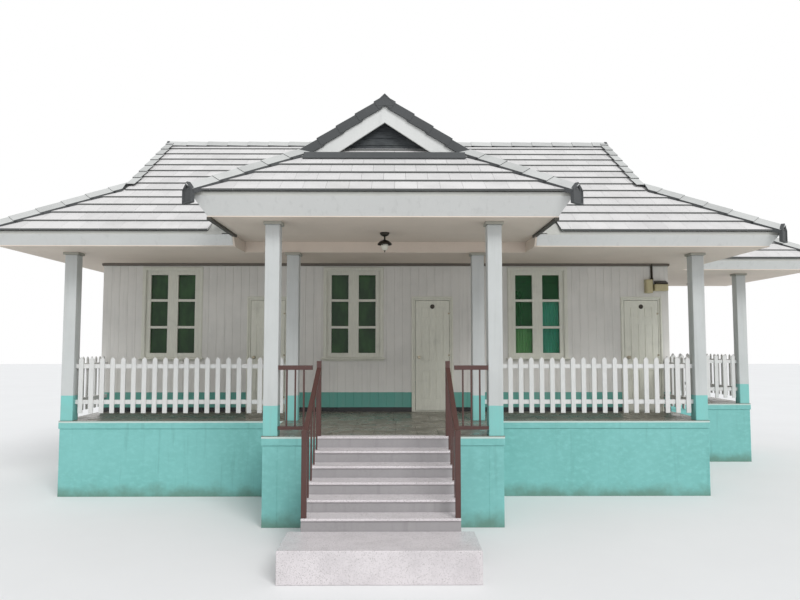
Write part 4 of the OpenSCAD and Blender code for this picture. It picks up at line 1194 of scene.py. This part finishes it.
def main_boards():
    """Eave boards of the main and terrace roofs, open where the porch roof runs in."""
    sheet = eave_sheet("fascia_main", (-X_EAVE, Y_EAVE), (WING_X, Y_BACK_EAVE), BOARD_TOP)
    split(sheet, (X_EAVE, 0, 0), (1, 0, 0))
    split(sheet, (0, WING_Y, 0), (0, 1, 0))
    pick_faces(sheet, lambda p, n: p.x > X_EAVE and p.y < WING_Y)
    bpy.ops.mesh.delete(type="FACE")
    bpy.ops.mesh.select_all(action="SELECT")
    bpy.ops.mesh.dissolve_faces(use_verts=False)
    leave_edit()
    rake(sheet, BOARD_H)
    for side in SIDES.values():
        pick_faces(sheet, lambda p, n: p.y < Y_EAVE + NEAR)
        bpy.ops.mesh.bisect(plane_co=(side * RETURN_X, 0, 0), plane_no=(1, 0, 0))
        leave_edit()
    delete_faces(sheet, lambda p, n: abs(p.x) < RETURN_X and p.y < Y_EAVE + NEAR)
    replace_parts(thicken(sheet), "fascia_cross", "fascia_ends")


def porch_boards():
    """Eave boards of the porch roof, which run back under the main roof."""
    sheet = eave_sheet("fascia_porch", (-PORCH_X, PORCH_Y), (PORCH_X, PORCH_BOARD_BACK), PORCH_BOARD_TOP)
    rake(sheet, PORCH_BOARD_H)
    delete_faces(sheet, lambda p, n: p.y > PORCH_BOARD_BACK - PORCH_LEAN)
    thicken(sheet)


def draw_in(obj, *rows):
    """Moves the points near a level of an axis along that axis; each row has the axis, level and move."""
    for axis, level, distance in rows:
        move = [distance if number == axis else 0 for number in (X, Y, Z)]
        move_points(obj, lambda p: abs(p[axis] - level) < NEAR, move)


def main_soffit(obj):
    """Draws the main soffit in to the feet of its boards."""
    draw_in(obj, (X, -X_EAVE, SOFFIT_IN), (X, X_EAVE, -SOFFIT_IN), (X, WING_X, -SOFFIT_IN),
            (Y, Y_EAVE, SOFFIT_IN), (Y, WING_Y, SOFFIT_IN), (Y, Y_BACK_EAVE, -SOFFIT_IN),
            (X, PORCH_X, -RETURN_IN), (X, -PORCH_X, RETURN_IN))


def porch_soffit(obj):
    """Draws the porch soffit in to the feet of its boards."""
    draw_in(obj, (X, PORCH_X, -PORCH_IN), (X, -PORCH_X, PORCH_IN), (Y, PORCH_Y, PORCH_IN))


def inner_boards(obj):
    """Draws the boards between the two soffits in, and rakes their front ends."""
    draw_in(obj, (X, PORCH_X, -RETURN_IN), (X, -PORCH_X, RETURN_IN))
    move_points(obj, lambda p: p.y < Y_EAVE + NEAR and p.z < Z_CEILING + NEAR, (0, LEAN, 0))


def below_gable(p):
    """How far a point lies below the line of its gable's roof."""
    if p.y < PORCH_VERGE_Y + 2 * NEAR and abs(p.x) < X_GABLE - NEAR:
        return PORCH_RIDGE_Z - RISE * abs(p.x) - p.z
    return Z_RIDGE - RISE * abs(p.y - Y_RIDGE) - p.z


def deepen_barges(obj):
    """Draws the lower edges of the barge boards down."""
    depths = [below_gable(point.co) for point in obj.data.vertices]
    halfway = (min(depths) + max(depths)) / 2
    move_points(obj, lambda p: below_gable(p) > halfway, (0, 0, -BARGE_DROP))


def eaves():
    """Eave boards, soffits and what joins them, with a bead down each side of the porch soffit that is dark
    as a painted shadow gap.
    """
    main_boards()
    porch_boards()
    finished("ceiling_main", "soffit_paint", SOFFIT, reshape=main_soffit)
    finished("ceiling_porch", "soffit_paint", SOFFIT, reshape=porch_soffit)
    for node in ("porch_beam", "eave_returns"):
        finished(node, "trim_paint", SOFFIT, width=0.005, reshape=inner_boards)
    for word, side in SIDES.items():
        low_x, high_x = sorted((side * (RETURN_X - BEAD_W), side * RETURN_X))
        bead = block("soffit_strip_" + word, (low_x, PORCH_Y + PORCH_LEAN, Z_PORCH_CEILING - BEAD_DOWN),
                     (high_x, Y_EAVE + NEAR, Z_PORCH_CEILING + BEAD_UP))
        dress(soften(bead, 0.004), "trim_paint", SHADOW_GAP_BEAD)


# Floors and the top step

FLOOR_TILE = 0.3
FLOOR_TILE_T = 0.005
FLOOR_GAP = 0.004
FLOOR_CHAMFER = 0.0015
NOSING_T = 0.032
NOSING_OUT = 0.02
NOSING_IN = 0.13
NOSING_UP = 0.006
RISER_OUT = 0.006
RISER_IN = 0.01
RISER_LAPS = (0.03, 0.02)


def floor_tiles(word, low, high):
    """Square glazed tiles over a rectangle of floor, laid out from its front left corner."""
    edge = FLOOR_TILE - FLOOR_GAP
    field = block("floor_" + word, (*low, FLOOR), (low[X] + edge, low[Y] + edge, FLOOR + FLOOR_TILE_T))
    bevel_edges(field, lambda a, b: min(a.z, b.z) > FLOOR + FLOOR_TILE_T / 2, FLOOR_CHAMFER)
    shrink_map(field)
    repeat(field, math.ceil((high[X] - low[X]) / FLOOR_TILE), (FLOOR_TILE, 0, 0), shift_u=MAP_STEP)
    repeat(field, math.ceil((high[Y] - low[Y]) / FLOOR_TILE), (0, FLOOR_TILE, 0), shift_v=MAP_STEP)
    dress(cut(field, (high[X], 0, 1, 0), (0, high[Y], 0, 1)), None, FLOOR_GLAZE)


def floors():
    """Tiles on the porch, the veranda, the terrace and indoors."""
    x_deck, y_deck = most("deck_house", X), least("deck_house", Y)
    porch_x, porch_y = PORCH_HALF + DECK_LIP, least("porch_columns", Y) - DECK_LIP
    floor_tiles("porch", (-porch_x, porch_y), (porch_x, y_deck))
    floor_tiles("veranda", (-x_deck, y_deck), (x_deck, Y_WALL))
    floor_tiles("terrace", (x_deck, least("deck_wing", Y)), (most("veranda_columns", X) + DECK_LIP,
                                                             Y_BACK + DECK_LIP))
    floor_tiles("rooms", (WALL_T - X_HOUSE, Y_WALL + WALL_T), (X_HOUSE - WALL_T, Y_BACK - WALL_T))


def top_step():
    """The last riser and nosing of the stairs, on the edge of the porch floor."""
    half, front = most("stair_treads", X), least("deck_porch", Y)
    riser = block("stair_top_riser", (-half, front - RISER_OUT, most("stair_treads", Z) - RISER_LAPS[0]),
                  (half, front + RISER_IN, FLOOR - RISER_LAPS[1]))
    dress(soften(riser, 0.002), "stair_mass", STEP_BODY)
    nosing = block("stair_top_nosing", (-half, front - NOSING_OUT, FLOOR + NOSING_UP - NOSING_T),
                   (half, front + NOSING_IN, FLOOR + NOSING_UP))
    dress(soften(nosing, 0.008, 3), "stair_stone", STEP_STONE)


# Fittings: each round piece is drawn through rings of a radius at a height

ROUND = 32
HOOD_RINGS = ((0.07, 0), (0.072, -0.012), (0.06, -0.04), (0.03, -0.056), (0.013, -0.06), (0.012, -0.105),
              (0.03, -0.112), (0.07, -0.13), (0.105, -0.165), (0.11, -0.185), (0.104, -0.187),
              (0.07, -0.15), (0.03, -0.14))
BULB_RINGS = ((0.03, -0.14), (0.048, -0.16), (0.055, -0.2), (0.05, -0.235), (0.034, -0.262), (0.014, -0.272))
FINIAL_RINGS = ((0.014, -0.27), (0.016, -0.276), (0.006, -0.284), (0.009, -0.291), (0.004, -0.299))
ARM_RINGS = ((0.005, -0.012), (0.005, 0.085))
ARM_Z = -0.19
ARMS = 3
ROSE_RINGS = ((0.03, 0), (0.03, 0.003), (0.025, 0.006), (0.014, 0.008))
DISC_RINGS = ((0.042, 0), (0.042, 0.003), (0.037, 0.006), (0.034, 0.004), (0.012, 0.004))
ROD_END_RINGS = ((0.009, 0), (0.009, 0.012), (0.006, 0.016))
PIPE_RINGS = ((0.02, 0.1), (0.024, 0.11), (0.024, 0.24), (0.028, 0.25), (0.028, 0.28), (0.02, 0.29))
PIPE_X = 0.135
PIPE_OUT = 0.03
KNOB_INSET = 0.065
KNOB_Z = FLOOR + 1.0
DISC_Z = FLOOR + 1.94
CASE_BORDER = 0.012
CASE_RAISE = 0.008
COVER_FALL = 0.05

# The meter's cases and cover, from the low corner of the meter's box: low corner, top and right end.
# A right end of None is the box's own.
NARROW = ((0, 0.03, 0), 0.25, 0.12)
WIDE = ((0.15, 0.01, 0.04), 0.16, None)
COVER = ((0.19, 0.02, 0.16), 0.24, None)


def turned(name, rings, place=(0, 0, 0), turn=NO_TURN):
    """A round piece about its own Z axis, drawn through its rings."""
    bpy.ops.mesh.primitive_circle_add(vertices=ROUND, radius=rings[0][0], fill_type="NGON")
    piece = started(name, (0, 0, rings[0][1]))
    edit_all(piece)
    for (r0, z0), (r1, z1) in zip(rings, rings[1:]):
        extrude((0, 0, z1 - z0))
        bpy.ops.transform.resize(value=(r1 / r0, r1 / r0, 1))
    bpy.ops.mesh.select_all(action="SELECT")
    bpy.ops.mesh.normals_make_consistent(inside=False)
    leave_edit()
    put(piece, place, turn)
    bpy.ops.object.shade_smooth_by_angle(angle=SMOOTH_ANGLE)
    return piece


def lamp():
    """Ceiling lamp: a round plate, a short stem, a wide hood and a closed bulb with a finial."""
    low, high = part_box("porch_lamp")
    place = (*middle(low, high)[:2], high[Z])
    plate = turned("plate", HOOD_RINGS)
    bulb = turned("porch_lamp_bulb", BULB_RINGS, place)
    parts = [plate, turned("finial", FINIAL_RINGS)]
    for step in range(ARMS):
        parts.append(turned("arm", ARM_RINGS, (0, 0, ARM_Z), (0, QUARTER_TURN, step * 2 * HALF_TURN / ARMS)))
    hood = put(join("porch_lamp_hood", parts), place)
    dress(hood, "lamp_metal", DARK_METAL)
    dress(bulb, "lamp_metal", LAMP_GLASS)
    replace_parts(hood, "porch_lamp")


def case(name, corner, top, right, fall=0.0):
    """A case of the meter with a raised lid on its front; its top may fall towards the front."""
    start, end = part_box("meter_box")
    x_end = start[X] + right if right else end[X]
    low, high = [a + b for a, b in zip(start, corner)], (x_end, end[Y], start[Z] + top)
    box = block(name, low, high)
    _, y, z = middle(low, high)
    move_points(box, lambda p: p.y < y and p.z > z, (0, 0, -fall))
    step_faces(box, lambda p, n: n.y < -FACING, CASE_BORDER, (0, -CASE_RAISE, 0))
    return soften(box, 0.004)


def meter():
    """Two small cases on the wall under the soffit, with a cover over the wider one and a pipe between."""
    cases = join("meter_cases", [case("narrow", *NARROW), case("wide", *WIDE)])
    dress(cases, "meter_case", METER_CASE)
    dress(case("meter_cover", *COVER, COVER_FALL), "meter_case", DARK_METAL)
    (x, _, z), (_, y_end, z_end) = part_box("meter_box")
    rings = [(radius, z + up) for radius, up in PIPE_RINGS] + [(PIPE_RINGS[0][0], z_end)]
    pipe = turned("meter_pipe", rings, (x + PIPE_X, y_end - PIPE_OUT, 0))
    dress(pipe, "meter_case", DARK_METAL)
    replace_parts(cases, "meter_box")


def door_fittings(word, x):
    """Roses behind the knobs, and a bare round plate high on the leaf."""
    body, knob_x, facing = "door_" + word, x - LEAF_W / 2 + KNOB_INSET, (QUARTER_TURN, 0, 0)
    front = turned("rose", ROSE_RINGS, (knob_x, Y_WALL, KNOB_Z), facing)
    back = turned("rose_back", ROSE_RINGS, (knob_x, Y_WALL + LEAF_T, KNOB_Z), (-QUARTER_TURN, 0, 0))
    dress(join("door_roses_" + word, [front, back]), "joinery_paint", BRIGHT_METAL, body=body)
    plate = turned("door_disc_" + word, DISC_RINGS, (x, Y_WALL, DISC_Z), facing)
    dress(plate, "joinery_paint", DARK_METAL, body=body)


# Window glass, and short curtains behind the right front window

CURTAIN_Y = Y_WALL + WALL_T + 0.045
CURTAIN_STEPS = 108
CURTAIN_ROWS = 12
CURTAIN_FOLDS = 9
CURTAIN_DEEP = 0.015
CURTAIN_T = 0.0012
CURTAIN_LAP = 0.03
CURTAIN_SPAN = (0.03, 0.48)
CURTAIN_DROPS = {"right": 1.1, "left": 0.59}
HEAD_SHARE = 0.55
HEM_DRIFT = 0.12
HEM_WAVES = 7
ROD_OUT = 0.03


def curtain(word, material):
    """A pleated curtain on a rod, with folds that open out towards its hem."""
    x0, x1 = sorted(WINDOWS["right"] + SIDES[word] * reach for reach in CURTAIN_SPAN)
    width, drop = x1 - x0, CURTAIN_DROPS[word]
    z1 = WINDOW_Z - CURTAIN_LAP + drop
    bpy.ops.mesh.primitive_grid_add(x_subdivisions=CURTAIN_STEPS, y_subdivisions=CURTAIN_ROWS, size=1)
    cloth = started("curtain_" + word, ((x0 + x1) / 2, CURTAIN_Y, z1 - drop / 2), (width, drop, 1),
                    (QUARTER_TURN, 0, 0))
    for point in cloth.data.vertices:
        along, down = (point.co.x - x0) / width, (z1 - point.co.z) / drop
        turns = CURTAIN_FOLDS * along + HEM_DRIFT * down * math.sin(HEM_WAVES * along)
        deep = CURTAIN_DEEP * (HEAD_SHARE + (1 - HEAD_SHARE) * down)
        point.co.y += deep * math.sin(2 * math.pi * turns)
    modify(cloth, "SOLIDIFY", thickness=CURTAIN_T, offset=0)
    bpy.ops.object.shade_smooth()
    dress(cloth, None, material)
    reach = width + 2 * ROD_OUT
    rings = [*ROD_END_RINGS, *((radius, reach - place) for radius, place in reversed(ROD_END_RINGS))]
    rod = turned(cloth.name + "_rod", rings, (x0 - ROD_OUT, CURTAIN_Y, z1), (0, QUARTER_TURN, 0))
    dress(rod, None, BRIGHT_METAL)


def glazing():
    """Window glass, and the curtains behind the one clear window."""
    finished("window_glass", "window_glass", REFLECTION_GLASS, CLEAR_REFLECTION_GLASS, width=0.0008, segments=1,
             reshape=clear_pane)
    curtain("right", TEAL_COTTON)
    curtain("left", GREEN_COTTON)


# The scene, from the camera to the last fitting

studio()
roof_tiles()
ridge_caps()
hip_caps()
verge_caps()
finish_nodes()
finish_copies()
walls()
eaves()
flashings()
floors()
top_step()
lamp()
glazing()
meter()
for word, x in DOORS.items():
    door_fittings(word, x)
